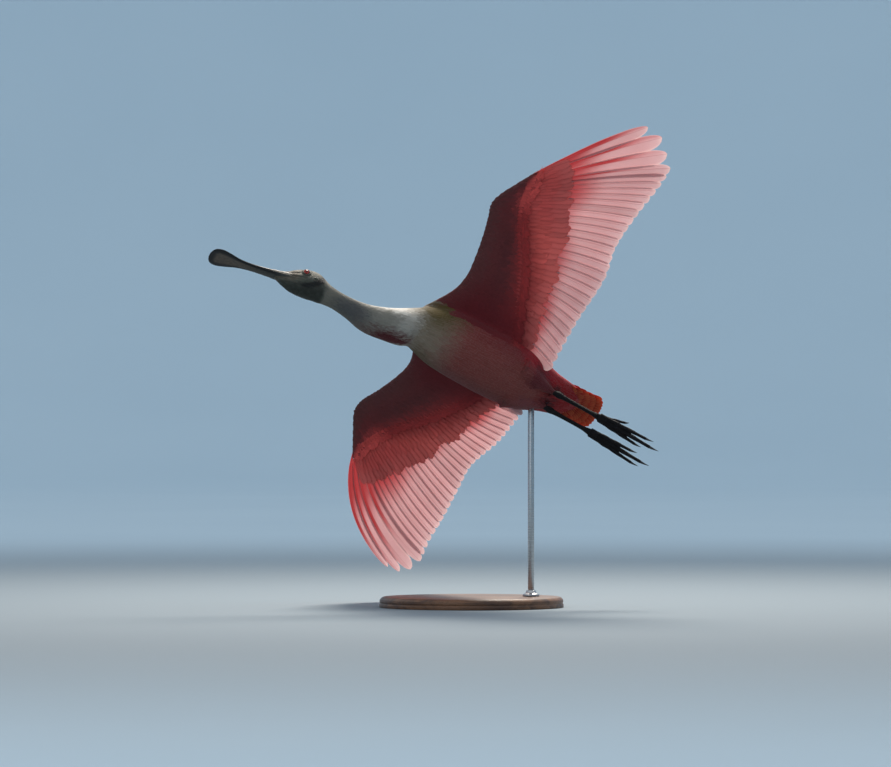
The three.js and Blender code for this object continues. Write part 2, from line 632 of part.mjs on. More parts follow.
function turned(profile, x, y) {
  const points = profile.map(([r, z]) => new THREE.Vector2(r, z));
  return solid(new THREE.LatheGeometry(points, ROUND).rotateX(Math.PI / 2).translate(x, y, 0));
}

const socket = solid(rodSolid(GAP).applyMatrix4(bird.matrix.clone().invert()));
const torso = torsoSolid();
const torsoCut = torsoSolid(GAP);
const neckCut = neckLength(0, NECK_CUTS[1], 9, GAP);

bird.add(node("torso", torso.subtract(socket), materials.pink));
bird.add(node("neck_lower", neckLength(NECK_CUTS[0], NECK_CUTS[1], 8), materials.white));
bird.add(node("neck_upper", neckLength(NECK_CUTS[1], NECK_CUTS[2], 8), materials.white));
bird.add(node("head", headSolid(), materials.skin));
bird.add(node("bill_upper", jawSolid(true), materials.bill));
bird.add(node("bill_lower", jawSolid(false), materials.bill));
for (const side of ["left", "right"]) {
  const sign = side === "left" ? 1 : -1;
  const { arm, hand } = wingSolids(side);
  const thighCut = thighSolid(sign, GAP);
  bird.add(node(`wing_${side}_arm`, arm.subtract(torsoCut).subtract(neckCut).subtract(thighCut), materials.wing));
  bird.add(node(`wing_${side}_hand`, hand, materials.wing));
  bird.add(node(`eye_${side}`, headBall(EYE.radius, EYE, sign), materials.eye));
  bird.add(node(`thigh_${side}`, thighSolid(sign).subtract(torsoCut), materials.pink));
  bird.add(node(`shank_${side}`, shankSolid(sign), materials.leg));
  bird.add(node(`foot_${side}`, footSolid(sign), materials.leg));
}
bird.add(node("tail", tailSolid().subtract(torsoCut), materials.tail));

const part = new THREE.Group();
part.add(bird);
const { radius, height, bevel } = BASE;
const baseProfile = [[0, 0], [radius - 1, 0], [radius, 1], [radius, height - bevel], [radius - bevel, height], [0, height]];
part.add(node("stand_base", turned(baseProfile, 0, 0), materials.wood));
const collarProfile = [
  [ROD.radius + GAP, height + GAP],
  [COLLAR.radius, height + GAP],
  [COLLAR.radius, height + 5],
  [ROD.radius + 3, height + COLLAR.height],
  [ROD.radius + GAP, height + COLLAR.height],
  [ROD.radius + GAP, height + GAP],
];
part.add(node("stand_collar", turned(collarProfile, rodFoot.x, rodFoot.y), materials.steel));
part.add(node("stand_rod", solid(rodSolid()), materials.steel));

export default part;
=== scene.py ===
"""A roseate spoonbill in banked flight, as a life-size museum model on a plain display stand."""

import math
from functools import partial
from itertools import product

import bmesh
import bpy
import numpy as np
from mathutils import Euler, Matrix, Vector
from mathutils.bvhtree import BVHTree


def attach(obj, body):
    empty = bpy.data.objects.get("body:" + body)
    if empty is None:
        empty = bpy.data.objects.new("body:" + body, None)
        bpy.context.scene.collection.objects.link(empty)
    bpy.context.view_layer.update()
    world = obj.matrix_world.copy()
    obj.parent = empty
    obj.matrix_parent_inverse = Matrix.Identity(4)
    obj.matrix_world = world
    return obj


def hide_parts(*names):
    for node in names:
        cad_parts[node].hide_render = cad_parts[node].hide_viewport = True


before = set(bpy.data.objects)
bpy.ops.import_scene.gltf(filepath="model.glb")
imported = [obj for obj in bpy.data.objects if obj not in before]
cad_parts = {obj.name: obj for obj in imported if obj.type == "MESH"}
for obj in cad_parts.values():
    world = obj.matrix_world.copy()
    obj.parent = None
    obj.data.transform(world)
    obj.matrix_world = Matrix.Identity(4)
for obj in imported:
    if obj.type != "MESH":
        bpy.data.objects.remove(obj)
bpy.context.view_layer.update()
rng = np.random.default_rng(11)

SIDES = (("left", 1), ("right", -1))

# Pose of the bird: its own frame has x forward, y to its left and z up, in millimetres
FLIGHT_HEIGHT = 482
HEADING = 187.3
CLIMB = 28.6
BANK = 62.5
BODY_OFFSET = (12, 0)

# Body: [x, y, half width, half height, z]
TORSO = [
    [-208, -3, 32, 10, 18],
    [-185, -4, 39, 18, 14],
    [-150, -4, 46, 33, 6],
    [-110, -2, 60, 50, -5],
    [-50, 0, 66, 61, -10],
    [20, 0, 66, 64, -11],
    [75, 0, 62, 60, -14],
    [110, -1, 51, 50, -19],
    [127, -1, 44, 44, -23],
]
RUMP = [[-222, 27, 4.4], [-216, 30, 6.6], [-208, 31, 9], [-190, 31, 10]]  # [x, half width, half height]
RUMP_HEIGHT = 18

# Neck and head: [x, y, z, half width, above, below, roll in degrees]
NECK = [
    [127, -1, -23, 44, 44, 44, 0],
    [149, -6.5, -40, 39.5, 38, 41, -3],
    [180, -12.5, -54, 34, 31, 36, -8],
    [221, -17.5, -65, 29, 25, 31, -14],
    [256, -17.5, -65, 22, 20, 23, -19],
    [290, -17, -63.5, 19.5, 18, 20.5, -23],
    [318, -17.5, -60, 21, 21, 26, -26],
    [340, -18, -58, 23, 30, 31, -26],
    [356, -20.5, -60, 23.5, 29.5, 30, -26],
    [372, -22.5, -63, 20.5, 24, 27.5, -26],
    [390, -25, -67, 15.5, 16, 19, -26],
]
HEAD_AT = (348, -18, -57)
BILL_TIP_AT = (542, -45.5, -92)
HEAD_ROLL = -26
BILL_START = 38
BILL_DROP = 3

# Swellings of the head: [forward, half width, half height, up]
CHIN = [
    [18, 17, 18, -14],
    [36, 14.5, 14.5, -13.5],
    [50, 11, 10, -11.5],
    [62, 7.5, 5.5, -8.5],
    [70, 4, 2, -6.5],
]
FOREHEAD = [
    [24, 17, 17, 0],
    [36, 15.6, 14.6, -0.5],
    [46, 14, 11.6, -1.4],
    [56, 12, 8.6, -2],
    [68, 9, 4.6, -2.6],
]
BILL_OUTLINE = [  # [share of the length, half width, upper depth, lower depth]
    [0, 15, 12, 9.5],
    [0.12, 12.5, 9.5, 7],
    [0.3, 10.5, 5.8, 4.2],
    [0.5, 10.4, 3.6, 2.8],
    [0.65, 14, 3, 2.5],
    [0.78, 21.5, 2.8, 2.4],
    [0.88, 25.5, 2.7, 2.3],
    [0.95, 22.5, 2.5, 2.1],
    [0.985, 15, 2.1, 1.8],
    [1, 6, 1.2, 1],
]
MOUTH_LINE = 0.4
EYE = {"radius": 6.3, "forward": 13, "side": 17, "up": 10}
EAR = {"forward": -6, "side": 21.5, "up": -3}
THROAT_FOLDS = [(-12, 0.45), (-17, 0.55), (-22, 0.65)]  # (up, depth)

# Nostril slit, in shares of the bill's length and half width, and its depth in millimetres
NOSTRIL = {"share": 0.09, "across": 0.42, "length": 0.024, "width": 0.13, "depth": 1.2}

# Wings in plan: [distance out, x], and fingers as [distance out, x] of each separate tip
SHOULDER_OUT = 67
WRIST_OUT = 258
HAND_END_OUT = 350
WING = {
    "left": {
        "quills": [[30, -52], [60, -46], [120, -22], [187, 10], [250, 50], [285, 62], [315, 66], [350, 69]],
        "leading": [[30, 138], [60, 118], [92, 101], [128, 96], [183, 104], [228, 115], [253, 123],
                    [277, 119], [306, 104], [350, 79]],
        "trailing": [[30, -136], [60, -133], [150, -133], [240, -139], [300, -127], [380, -131], [440, -140],
                     [480, -142]],
        "fingers": [[524, -64], [520, -97], [498, -121], [478, -140]],
        "bow": 0.03,
        "rise": 0.19,
    },
    "right": {
        "quills": [[30, -52], [60, -46], [120, -22], [187, 10], [250, 52], [285, 69], [315, 79], [350, 87]],
        "leading": [[30, 135], [60, 112], [92, 103], [128, 107], [183, 123], [228, 140], [253, 142],
                    [277, 134], [306, 119], [350, 96]],
        "trailing": [[30, -134], [60, -131], [150, -127], [240, -111], [300, -115], [380, -121], [440, -124],
                     [480, -130]],
        "fingers": [[537, -83], [533, -107], [516, -123], [488, -130]],
        "bow": 0.24,
        "rise": 0.15,
    },
}
ARM_THICKNESS = [[30, 40], [67, 34], [130, 25], [200, 18], [258, 14], [300, 11.5], [350, 10.5]]
ARM_SECTION = [  # [share from leading edge to quills, height as a share of the thickness]
    [0, 0],
    [0.025, 0.19],
    [0.1, 0.36],
    [0.3, 0.5],
    [0.62, 0.47],
    [1, 0.4],
    [1, -0.4],
    [0.62, -0.44],
    [0.3, -0.44],
    [0.1, -0.3],
    [0.025, -0.17],
]
ARM_END_HALF = 5.3
ROOT_HEIGHT = 6
ARM_RISE = 0.3
ROOT_INCIDENCE = 0.1
CAMBER = 9

# Flight feathers, in more and finer vanes than the solids have
PRIMARIES = 10
SECONDARIES = 16
TERTIALS = 3
VANE_THICK = 0.35
VANE_STACK = 1.3
ROOT_DEPTH = 13
PRIMARY_ROOTS = (338, 272)
SECONDARY_ROOTS = (262, 128)
TERTIAL_ROOTS = (114, 74)
INNERMOST_TIP = 56
COVERT_REACH = [[30, 56], [120, 60], [187, 76], [250, 95], [283, 90], [324, 62], [350, 50]]
COVERT_LIFT = 2.6
COVERT_THICK = 0.25
COVERT_TIERS = [(36, 0.92, 0.0), (38, 0.68, 0.7), (40, 0.48, 1.3), (42, 0.32, 1.9)]  # [count, reach, lift]
UPPER_COVERT_REACH = 0.86
SHAFT_RIDGE = 0.9

# Tail feathers and the coverts under and over them
TAIL_HEIGHT = 18
TAIL_TIERS = [  # [pairs, root x, tip x, half width at roots and at tips, lift, widest vane, colour]
    (6, -204, -261, 27, 37, 0.0, 17, "#c42c20"),
    (9, -196, -247, 26, 35, -2.6, 13, "#c01a1c"),
    (9, -184, -235, 25, 34, -3.8, 13, "#ab141c"),
    (9, -172, -222, 24, 33, -5.0, 13, "#9a1420"),
    (9, -160, -208, 23, 32, -6.2, 13, "#971a20"),
    (9, -196, -244, 26, 34, 2.6, 13, "#c9582f"),
    (9, -184, -230, 25, 33, 3.8, 13, "#bf2f38"),
    (9, -172, -216, 24, 32, 5.0, 13, "#bb2438"),
]

# Legs
LEG = {"side": 18, "drop": -30, "hip": (-82, 36, -38), "thigh_end": -154, "heel": -170, "toe_root": -252}
SHANK_RADIUS = 4.2
HEEL_RADIUS = 6.4
TOES = [  # [length, spread in degrees towards the outside, root radius, distance of the root to the outside]
    [98, -3.5, 4.6, -5],
    [130, 0, 5, 0],
    [113, 3.5, 4.6, 5],
]
HALLUX = (66, 8, 4)
TOE_SHAPE = [[0, 1], [0.2, 0.82], [0.3, 0.95], [0.42, 0.76], [0.55, 0.86], [0.7, 0.66], [0.84, 0.62]]
WEB_REACH = 0.5
CLAW_CURL = 180

# Stand
BASE = {"radius": 175, "height": 20}
ROD = {"radius": 6, "at": (-112, 6, 8), "to_surface": 58, "sink": 26}
COLLAR = {"radius": 16, "height": 12}
STAND_GAP = 0.3

# Stage, in metres: a floor that bends up into a wall
SWEEP = {"ring": 9.0, "flat": 14.0, "bend": 6.0, "top": 9.0}
BIRD_MIDDLE = (0, 0, 0.45)
CAMERA_AT = (-0.0492, -12.0, 0.4245)
FOCAL_LENGTH = 255.6

# Depth of the plumage over the skin
TORSO_COAT = 2.4
NECK_COAT = 1.8
WING_COAT = 1.5
THIGH_COAT = 2.0
TUFT_HALF_THICK = 0.07

# Voxel sizes of the fused pieces
BODY_VOXEL = 2.2
HEAD_VOXEL = 1.0
LEG_VOXEL = 0.85


# Frames and smooth values

BIRD = (
    Matrix.Translation((*BODY_OFFSET, FLIGHT_HEIGHT))
    @ Euler((math.radians(BANK), math.radians(-CLIMB), math.radians(HEADING)), "XYZ").to_matrix().to_4x4()
)
TO_METRES = Matrix.Scale(0.001, 4)


def unit(vectors):
    """Vectors brought to length 1."""
    vectors = np.asarray(vectors, float)
    return vectors / np.maximum(np.linalg.norm(vectors, axis=-1, keepdims=True), 1e-9)


def along(stops, t):
    """Smooth values at t along a table of stops [t, value, ...]; t may be an array."""
    stops = np.asarray(stops, float)
    knots, values = stops[:, 0], stops[:, 1:]
    last = len(stops) - 1
    low, high = np.maximum(np.arange(last + 1) - 1, 0), np.minimum(np.arange(last + 1) + 1, last)
    slopes = (values[high] - values[low]) / (knots[high] - knots[low])[:, None]
    x = np.clip(np.asarray(t, float), knots[0], knots[-1])
    i = np.clip(np.searchsorted(knots, x, side="left") - 1, 0, last - 1)
    span = (knots[i + 1] - knots[i])[..., None]
    u = (x[..., None] - knots[i][..., None]) / span
    made = (
        values[i] * (1 + 2 * u) * (1 - u) ** 2
        + values[i + 1] * (3 - 2 * u) * u**2
        + span * u * (1 - u) * (slopes[i] * (1 - u) - slopes[i + 1] * u)
    )
    return made[..., 0] if made.shape[-1] == 1 else made


def smooth_line(points, t):
    """Points at shares t of a smooth line that passes through the given ones."""
    points = np.asarray(points, float)
    ends = np.vstack([2 * points[0] - points[1], points, 2 * points[-1] - points[-2]])
    at = np.clip(np.asarray(t, float), 0, 1) * (len(points) - 1)
    i = np.minimum(at.astype(int), len(points) - 2)
    u = (at - i)[..., None]
    a, b, c, d = (ends[i + k] for k in range(4))
    first, middle, third = (
        np.linalg.norm(q - p, axis=-1, keepdims=True) ** 0.5 for p, q in ((a, b), (b, c), (c, d))
    )
    leave = ((b - a) / first - (c - a) / (first + middle) + (c - b) / middle) * middle
    arrive = ((c - b) / middle - (d - b) / (middle + third) + (d - c) / third) * middle
    hermite = b * (1 + 2 * u) * (1 - u) ** 2 + c * (3 - 2 * u) * u**2
    return hermite + leave * u * (1 - u) ** 2 - arrive * u**2 * (1 - u)


def smoothstep(low, high, x):
    """0 below low, 1 above high, and a soft step between."""
    u = np.clip((np.asarray(x, float) - low) / (high - low), 0, 1)
    return u * u * (3 - 2 * u)


def bell(x, centre, width):
    """1 at the centre and running out to 0 on both sides."""
    return np.exp(-(((x - centre) / width) ** 2))


def blend(first, second, share):
    """One value run into another by a share."""
    return first * (1 - share) + second * share


def oval_rings(centres, sides, ups, half_widths, above, below, count):
    """Rings of count points round centres, in the planes of the side and up vectors."""
    angle = np.linspace(0, 2 * math.pi, count, endpoint=False)
    reach = np.where(np.sin(angle) > 0, np.asarray(above)[:, None], np.asarray(below)[:, None])
    across = np.cos(angle)[None, :] * np.asarray(half_widths)[:, None]
    height = np.sin(angle)[None, :] * reach
    return centres[:, None] + sides[:, None] * across[..., None] + ups[:, None] * height[..., None]


def level_rings(centres, half_widths, half_heights, grow, count):
    """Oval rings in planes square to the bird's length, grown all round."""
    left = np.tile([0, 1.0, 0], (len(centres), 1))
    up = np.tile([0, 0, 1.0], (len(centres), 1))
    high = half_heights + grow
    return oval_rings(centres, left, up, half_widths + grow, high, high, count)


def rolled(forward, degrees):
    """Side and up vectors square to forward, turned about it from upright."""
    forward = unit(forward)
    up = unit(np.array([0, 0, 1.0]) - forward * forward[..., 2:])
    angle = np.radians(degrees)[..., None]
    up = up * np.cos(angle) + np.cross(forward, up) * np.sin(angle)
    return np.cross(up, forward), up


head_forward = unit(np.subtract(BILL_TIP_AT, HEAD_AT))
head_side, head_up = rolled(head_forward, np.array(float(HEAD_ROLL)))
HEAD_AXES = np.array([head_forward, head_side, head_up])


def from_head(points):
    """Points in the head's frame (forward, left, crown) in the bird's frame."""
    return np.asarray(points, float) @ HEAD_AXES + HEAD_AT


def in_head(points):
    """Points of the bird's frame in the head's frame."""
    return (np.asarray(points, float) - HEAD_AT) @ HEAD_AXES.T


# Colours and materials


def linear(hex_colour):
    """An sRGB hex colour as linear red, green and blue."""
    parts = [int(hex_colour[i : i + 2], 16) / 255 for i in (1, 3, 5)]
    return np.array([c / 12.92 if c <= 0.04045 else ((c + 0.055) / 1.055) ** 2.4 for c in parts])


def rgba(hex_colour):
    """An sRGB hex colour for a colour socket."""
    return (*linear(hex_colour), 1.0)


# Settings that several nodes share. Map Range takes its value at 0, its range at 1 and 2 and gives 3 to 4.
# Mix takes its factor at 0 and its colours at 6 and 7.
SMOOTH = {"interpolation_type": "SMOOTHSTEP"}
COLOURS = {"data_type": "RGBA", "out": 2}
MULTIPLIED = {"data_type": "RGBA", "blend_type": "MULTIPLY", "out": 2}


def add_node(tree, kind, inputs, out=0, **settings):
    """Adds a shader node with its settings and links, and returns one of its outputs.
    Each input is given a value or the socket that feeds it."""
    made = tree.nodes.new(kind)
    for name, value in settings.items():
        setattr(made, name, value)
    for key, value in inputs.items():
        if isinstance(value, bpy.types.NodeSocket):
            tree.links.new(value, made.inputs[key])
        else:
            made.inputs[key].default_value = value
    return made.outputs[out] if made.outputs else None


def new_material(name):
    """An empty node material and its tree."""
    material = bpy.data.materials.new(name)
    material.use_nodes = True
    material.node_tree.nodes.clear()
    return material, material.node_tree


def plumage(name, shaft, fringe, glow, barb_depth, rim=0.3, roughness=0.72):
    """Feather vanes: dyed keratin barbs lying side by side, matt with a soft sheen, that let light through.
    The barbs are drawn 2.4 mm apart, several times their real spacing, because finer lines wouldn't show."""
    material, tree = new_material(name)
    tint = add_node(tree, "ShaderNodeVertexColor", {}, layer_name="tint")
    plume = add_node(tree, "ShaderNodeUVMap", {}, uv_map="plume")
    across, lengthwise, _ = add_node(tree, "ShaderNodeSeparateXYZ", {0: plume}).node.outputs
    barb = add_node(tree, "ShaderNodeUVMap", {}, uv_map="barb")
    waves = {"Vector": barb, "Scale": 1.3, "Distortion": 1.2, "Detail": 2.0, "Detail Scale": 0.7}
    lines = add_node(tree, "ShaderNodeTexWave", waves, out="Fac", bands_direction="X")
    beside = add_node(tree, "ShaderNodeMath", {0: across, 1: 0.5}, operation="SUBTRACT")
    from_shaft = add_node(tree, "ShaderNodeMath", {0: beside}, operation="ABSOLUTE")
    near_shaft = {0: from_shaft, 1: 0.02, 2: 0.1, 3: 1.0, 4: 0.0}
    on_shaft = add_node(tree, "ShaderNodeMapRange", near_shaft, **SMOOTH)
    at_tip = add_node(tree, "ShaderNodeMapRange", {0: lengthwise, 1: 0.86, 2: 1.0}, **SMOOTH)
    at_edge = add_node(tree, "ShaderNodeMapRange", {0: from_shaft, 1: 0.4, 2: 0.5}, **SMOOTH)
    at_rim = add_node(tree, "ShaderNodeMath", {0: at_tip, 1: at_edge}, operation="MAXIMUM")
    paler = add_node(tree, "ShaderNodeMath", {0: at_rim, 1: rim}, operation="MULTIPLY")
    shade = add_node(tree, "ShaderNodeMapRange", {0: lines, 1: 0.1, 2: 0.9, 3: 1.0 - barb_depth}, **SMOOTH)
    ribbed = 0.4 if glow else 0.12
    ribbed = add_node(tree, "ShaderNodeMath", {0: on_shaft, 1: ribbed}, operation="MULTIPLY")
    colour = add_node(tree, "ShaderNodeMix", {0: 1.0, 6: tint, 7: shade}, **MULTIPLIED)
    colour = add_node(tree, "ShaderNodeMix", {0: paler, 6: colour, 7: rgba(fringe)}, **COLOURS)
    colour = add_node(tree, "ShaderNodeMix", {0: ribbed, 6: colour, 7: rgba(shaft)}, **COLOURS)
    height = add_node(tree, "ShaderNodeMath", {0: lines, 1: 0.5, 2: on_shaft}, operation="MULTIPLY_ADD")
    bump = add_node(tree, "ShaderNodeBump", {"Height": height, "Strength": 0.25, "Distance": 0.0004})
    keratin = {"Base Color": colour, "Roughness": roughness, "Normal": bump, "Specular IOR Level": 0.2}
    keratin |= {"Sheen Weight": 0.06, "Sheen Roughness": 0.5}
    vane = add_node(tree, "ShaderNodeBsdfPrincipled", keratin)
    if glow:
        through = add_node(tree, "ShaderNodeBsdfTranslucent", {"Color": colour, "Normal": bump})
        vane = add_node(tree, "ShaderNodeMixShader", {0: glow, 1: vane, 2: through})
    add_node(tree, "ShaderNodeOutputMaterial", {"Surface": vane})
    return material


def bare_skin(name):
    """Bare hide of the head and the down-covered hide under the plumage: fine creases and pores, dull."""
    material, tree = new_material(name)
    tint = add_node(tree, "ShaderNodeVertexColor", {}, layer_name="tint")
    place = add_node(tree, "ShaderNodeTexCoord", {}, out="Object")
    wrinkles = {"Vector": place, "Scale": 900.0}
    wrinkles = add_node(tree, "ShaderNodeTexVoronoi", wrinkles, feature="DISTANCE_TO_EDGE")
    blotches = add_node(tree, "ShaderNodeTexNoise", {"Vector": place, "Scale": 130.0, "Detail": 5.0})
    warts = add_node(tree, "ShaderNodeTexNoise", {"Vector": place, "Scale": 420.0, "Detail": 3.0})
    smooth_hide = add_node(tree, "ShaderNodeMapRange", {0: wrinkles, 1: 0.0, 2: 0.12}, **SMOOTH)
    crease = add_node(tree, "ShaderNodeMath", {0: 1.0, 1: smooth_hide}, operation="SUBTRACT")
    crease = add_node(tree, "ShaderNodeMath", {0: crease, 1: 0.16}, operation="MULTIPLY")
    blotch = add_node(tree, "ShaderNodeMapRange", {0: blotches, 1: 0.35, 2: 0.68, 3: 0.72, 4: 1.15}, **SMOOTH)
    colour = add_node(tree, "ShaderNodeMix", {0: 1.0, 6: tint, 7: blotch}, **MULTIPLIED)
    colour = add_node(tree, "ShaderNodeMix", {0: crease, 6: colour, 7: rgba("#3a3d33")}, **COLOURS)
    height = add_node(tree, "ShaderNodeMath", {0: warts, 1: 2.5, 2: smooth_hide}, operation="MULTIPLY_ADD")
    bump = add_node(tree, "ShaderNodeBump", {"Height": height, "Strength": 0.35, "Distance": 0.0005})
    hide = {"Base Color": colour, "Roughness": 0.58, "Normal": bump, "Specular IOR Level": 0.25}
    hide |= {"Subsurface Weight": 0.05, "Subsurface Scale": 0.002}
    hide = add_node(tree, "ShaderNodeBsdfPrincipled", hide)
    add_node(tree, "ShaderNodeOutputMaterial", {"Surface": hide})
    return material


def bill_horn(name):
    """Horn sheath of the bill: hard keratin, mottled and finely pitted, its gloss varying with the mottle."""
    material, tree = new_material(name)
    tint = add_node(tree, "ShaderNodeVertexColor", {}, layer_name="tint")
    place = add_node(tree, "ShaderNodeTexCoord", {}, out="Object")
    mottle = {"Vector": place, "Scale": 210.0, "Detail": 6.0, "Roughness": 0.65}
    mottle = add_node(tree, "ShaderNodeTexNoise", mottle)
    pits = add_node(tree, "ShaderNodeTexVoronoi", {"Vector": place, "Scale": 600.0})
    grain = add_node(tree, "ShaderNodeMapRange", {0: mottle, 1: 0.3, 2: 0.7, 3: 0.7, 4: 1.25}, **SMOOTH)
    colour = add_node(tree, "ShaderNodeMix", {0: 1.0, 6: tint, 7: grain}, **MULTIPLIED)
    pit = add_node(tree, "ShaderNodeMapRange", {0: pits, 1: 0.0, 2: 0.5}, **SMOOTH)
    bump = add_node(tree, "ShaderNodeBump", {"Height": pit, "Strength": 0.25, "Distance": 0.0004})
    rough = add_node(tree, "ShaderNodeMapRange", {0: mottle, 1: 0.3, 2: 0.7, 3: 0.38, 4: 0.55}, **SMOOTH)
    horn = {"Base Color": colour, "Roughness": rough, "Normal": bump, "IOR": 1.54, "Specular IOR Level": 0.3}
    horn = add_node(tree, "ShaderNodeBsdfPrincipled", horn)
    add_node(tree, "ShaderNodeOutputMaterial", {"Surface": horn})
    return material


def leg_scale(name):
    """Scaled hide of shank and toes: small hard scutes with dirt in the joints, dry and nearly black."""
    material, tree = new_material(name)
    place = add_node(tree, "ShaderNodeTexCoord", {}, out="Object")
    scutes = {"Vector": place, "Scale": 360.0}
    scutes = add_node(tree, "ShaderNodeTexVoronoi", scutes, feature="DISTANCE_TO_EDGE")
    dust = add_node(tree, "ShaderNodeTexNoise", {"Vector": place, "Scale": 90.0, "Detail": 4.0})
    on_scute = add_node(tree, "ShaderNodeMapRange", {0: scutes, 1: 0.02, 2: 0.16}, **SMOOTH)
    joint = add_node(tree, "ShaderNodeMath", {0: 1.0, 1: on_scute}, operation="SUBTRACT")
    dusty = add_node(tree, "ShaderNodeMapRange", {0: dust, 1: 0.35, 2: 0.7}, **SMOOTH)
    colour = add_node(tree, "ShaderNodeMix", {0: dusty, 6: rgba("#121114"), 7: rgba("#1f1b1d")}, **COLOURS)
    colour = add_node(tree, "ShaderNodeMix", {0: joint, 6: colour, 7: rgba("#08080a")}, **COLOURS)
    bump = add_node(tree, "ShaderNodeBump", {"Height": on_scute, "Strength": 0.6, "Distance": 0.0006})
    hide = {"Base Color": colour, "Roughness": 0.55, "Normal": bump, "Specular IOR Level": 0.15}
    hide = add_node(tree, "ShaderNodeBsdfPrincipled", hide)
    add_node(tree, "ShaderNodeOutputMaterial", {"Surface": hide})
    return material


def claw_horn(name):
    """Claws: black horn with faint streaks, evenly polished."""
    material, tree = new_material(name)
    place = add_node(tree, "ShaderNodeTexCoord", {}, out="Object")
    streaks = add_node(tree, "ShaderNodeTexNoise", {"Vector": place, "Scale": 700.0, "Detail": 2.0})
    streak = add_node(tree, "ShaderNodeMapRange", {0: streaks, 1: 0.3, 2: 0.7}, **SMOOTH)
    colour = add_node(tree, "ShaderNodeMix", {0: streak, 6: rgba("#131214"), 7: rgba("#2b2727")}, **COLOURS)
    horn = add_node(tree, "ShaderNodeBsdfPrincipled", {"Base Color": colour, "Roughness": 0.32, "IOR": 1.54})
    add_node(tree, "ShaderNodeOutputMaterial", {"Surface": horn})
    return material


def eye_glass(name):
    """Wet eye: a black pupil in a blood-red iris with fine rays, under a clear glossy cornea."""
    material, tree = new_material(name)
    iris = add_node(tree, "ShaderNodeUVMap", {}, uv_map="iris")
    round_axis, off_axis, _ = add_node(tree, "ShaderNodeSeparateXYZ", {0: iris}).node.outputs
    turn = add_node(tree, "ShaderNodeMath", {0: round_axis, 1: 40.0}, operation="MULTIPLY")
    turn = add_node(tree, "ShaderNodeCombineXYZ", {0: turn})
    rays = add_node(tree, "ShaderNodeTexNoise", {"Vector": turn, "Scale": 2.0, "Detail": 3.0})
    rim = add_node(tree, "ShaderNodeMapRange", {0: off_axis, 1: 0.27, 2: 0.33}, **SMOOTH)
    pupil = add_node(tree, "ShaderNodeMapRange", {0: off_axis, 1: 0.115, 2: 0.135, 3: 1.0, 4: 0.0}, **SMOOTH)
    colour = add_node(tree, "ShaderNodeMix", {0: rays, 6: rgba("#80100c"), 7: rgba("#bb2d18")}, **COLOURS)
    colour = add_node(tree, "ShaderNodeMix", {0: rim, 6: colour, 7: rgba("#2a0d0b")}, **COLOURS)
    colour = add_node(tree, "ShaderNodeMix", {0: pupil, 6: colour, 7: rgba("#050505")}, **COLOURS)
    cornea = {"Base Color": colour, "Roughness": 0.12, "IOR": 1.38}
    cornea |= {"Coat Weight": 0.35, "Coat Roughness": 0.02}
    ball = add_node(tree, "ShaderNodeBsdfPrincipled", cornea)
    add_node(tree, "ShaderNodeOutputMaterial", {"Surface": ball})
    return material


def oiled_walnut(name):
    """Turned walnut with an oil finish: long brown figure with darker pores along the grain, satin."""
    material, tree = new_material(name)
    place = add_node(tree, "ShaderNodeTexCoord", {}, out="Object")
    long = add_node(tree, "ShaderNodeMapping", {"Vector": place, "Scale": (3.0, 26.0, 26.0)})
    figure = {"Vector": long, "Scale": 1.6, "Detail": 5.0, "Distortion": 0.8}
    figure = add_node(tree, "ShaderNodeTexNoise", figure)
    figure = add_node(tree, "ShaderNodeMapRange", {0: figure, 1: 0.34, 2: 0.66}, **SMOOTH)
    fine = add_node(tree, "ShaderNodeMapping", {"Vector": place, "Scale": (30.0, 900.0, 900.0)})
    pores = add_node(tree, "ShaderNodeTexNoise", {"Vector": fine, "Scale": 1.0, "Detail": 2.0})
    pore = add_node(tree, "ShaderNodeMapRange", {0: pores, 1: 0.52, 2: 0.66}, **SMOOTH)
    dark = add_node(tree, "ShaderNodeMath", {0: pore, 1: 0.5}, operation="MULTIPLY")
    rough = add_node(tree, "ShaderNodeMapRange", {0: pores, 1: 0.3, 2: 0.7, 3: 0.34, 4: 0.48}, **SMOOTH)
    colour = add_node(tree, "ShaderNodeMix", {0: figure, 6: rgba("#4a2f20"), 7: rgba("#7b5438")}, **COLOURS)
    colour = add_node(tree, "ShaderNodeMix", {0: dark, 6: colour, 7: rgba("#2c1a12")}, **COLOURS)
    bump = {"Height": pore, "Strength": 0.15, "Distance": 0.0003}
    bump = add_node(tree, "ShaderNodeBump", bump, invert=True)
    wood = {"Base Color": colour, "Roughness": rough, "Normal": bump}
    wood = add_node(tree, "ShaderNodeBsdfPrincipled", wood)
    add_node(tree, "ShaderNodeOutputMaterial", {"Surface": wood})
    return material


def brushed_steel(name):
    """Brushed stainless rod: fine lines round the bar from the lathe, soft stretched highlights."""
    material, tree = new_material(name)
    place = add_node(tree, "ShaderNodeTexCoord", {}, out="Object")
    stretched = add_node(tree, "ShaderNodeMapping", {"Vector": place, "Scale": (20.0, 20.0, 2400.0)})
    lines = add_node(tree, "ShaderNodeTexNoise", {"Vector": stretched, "Scale": 1.0, "Detail": 2.0})
    rough = add_node(tree, "ShaderNodeMapRange", {0: lines, 1: 0.3, 2: 0.7, 3: 0.24, 4: 0.36}, **SMOOTH)
    colour = add_node(tree, "ShaderNodeMix", {0: lines, 6: rgba("#a9abad"), 7: rgba("#c9cbcc")}, **COLOURS)
    bump = add_node(tree, "ShaderNodeBump", {"Height": lines, "Strength": 0.08, "Distance": 0.0002})
    steel = {"Base Color": colour, "Metallic": 1.0, "Roughness": rough, "Normal": bump}
    steel = add_node(tree, "ShaderNodeBsdfPrincipled", steel)
    add_node(tree, "ShaderNodeOutputMaterial", {"Surface": steel})
    return material


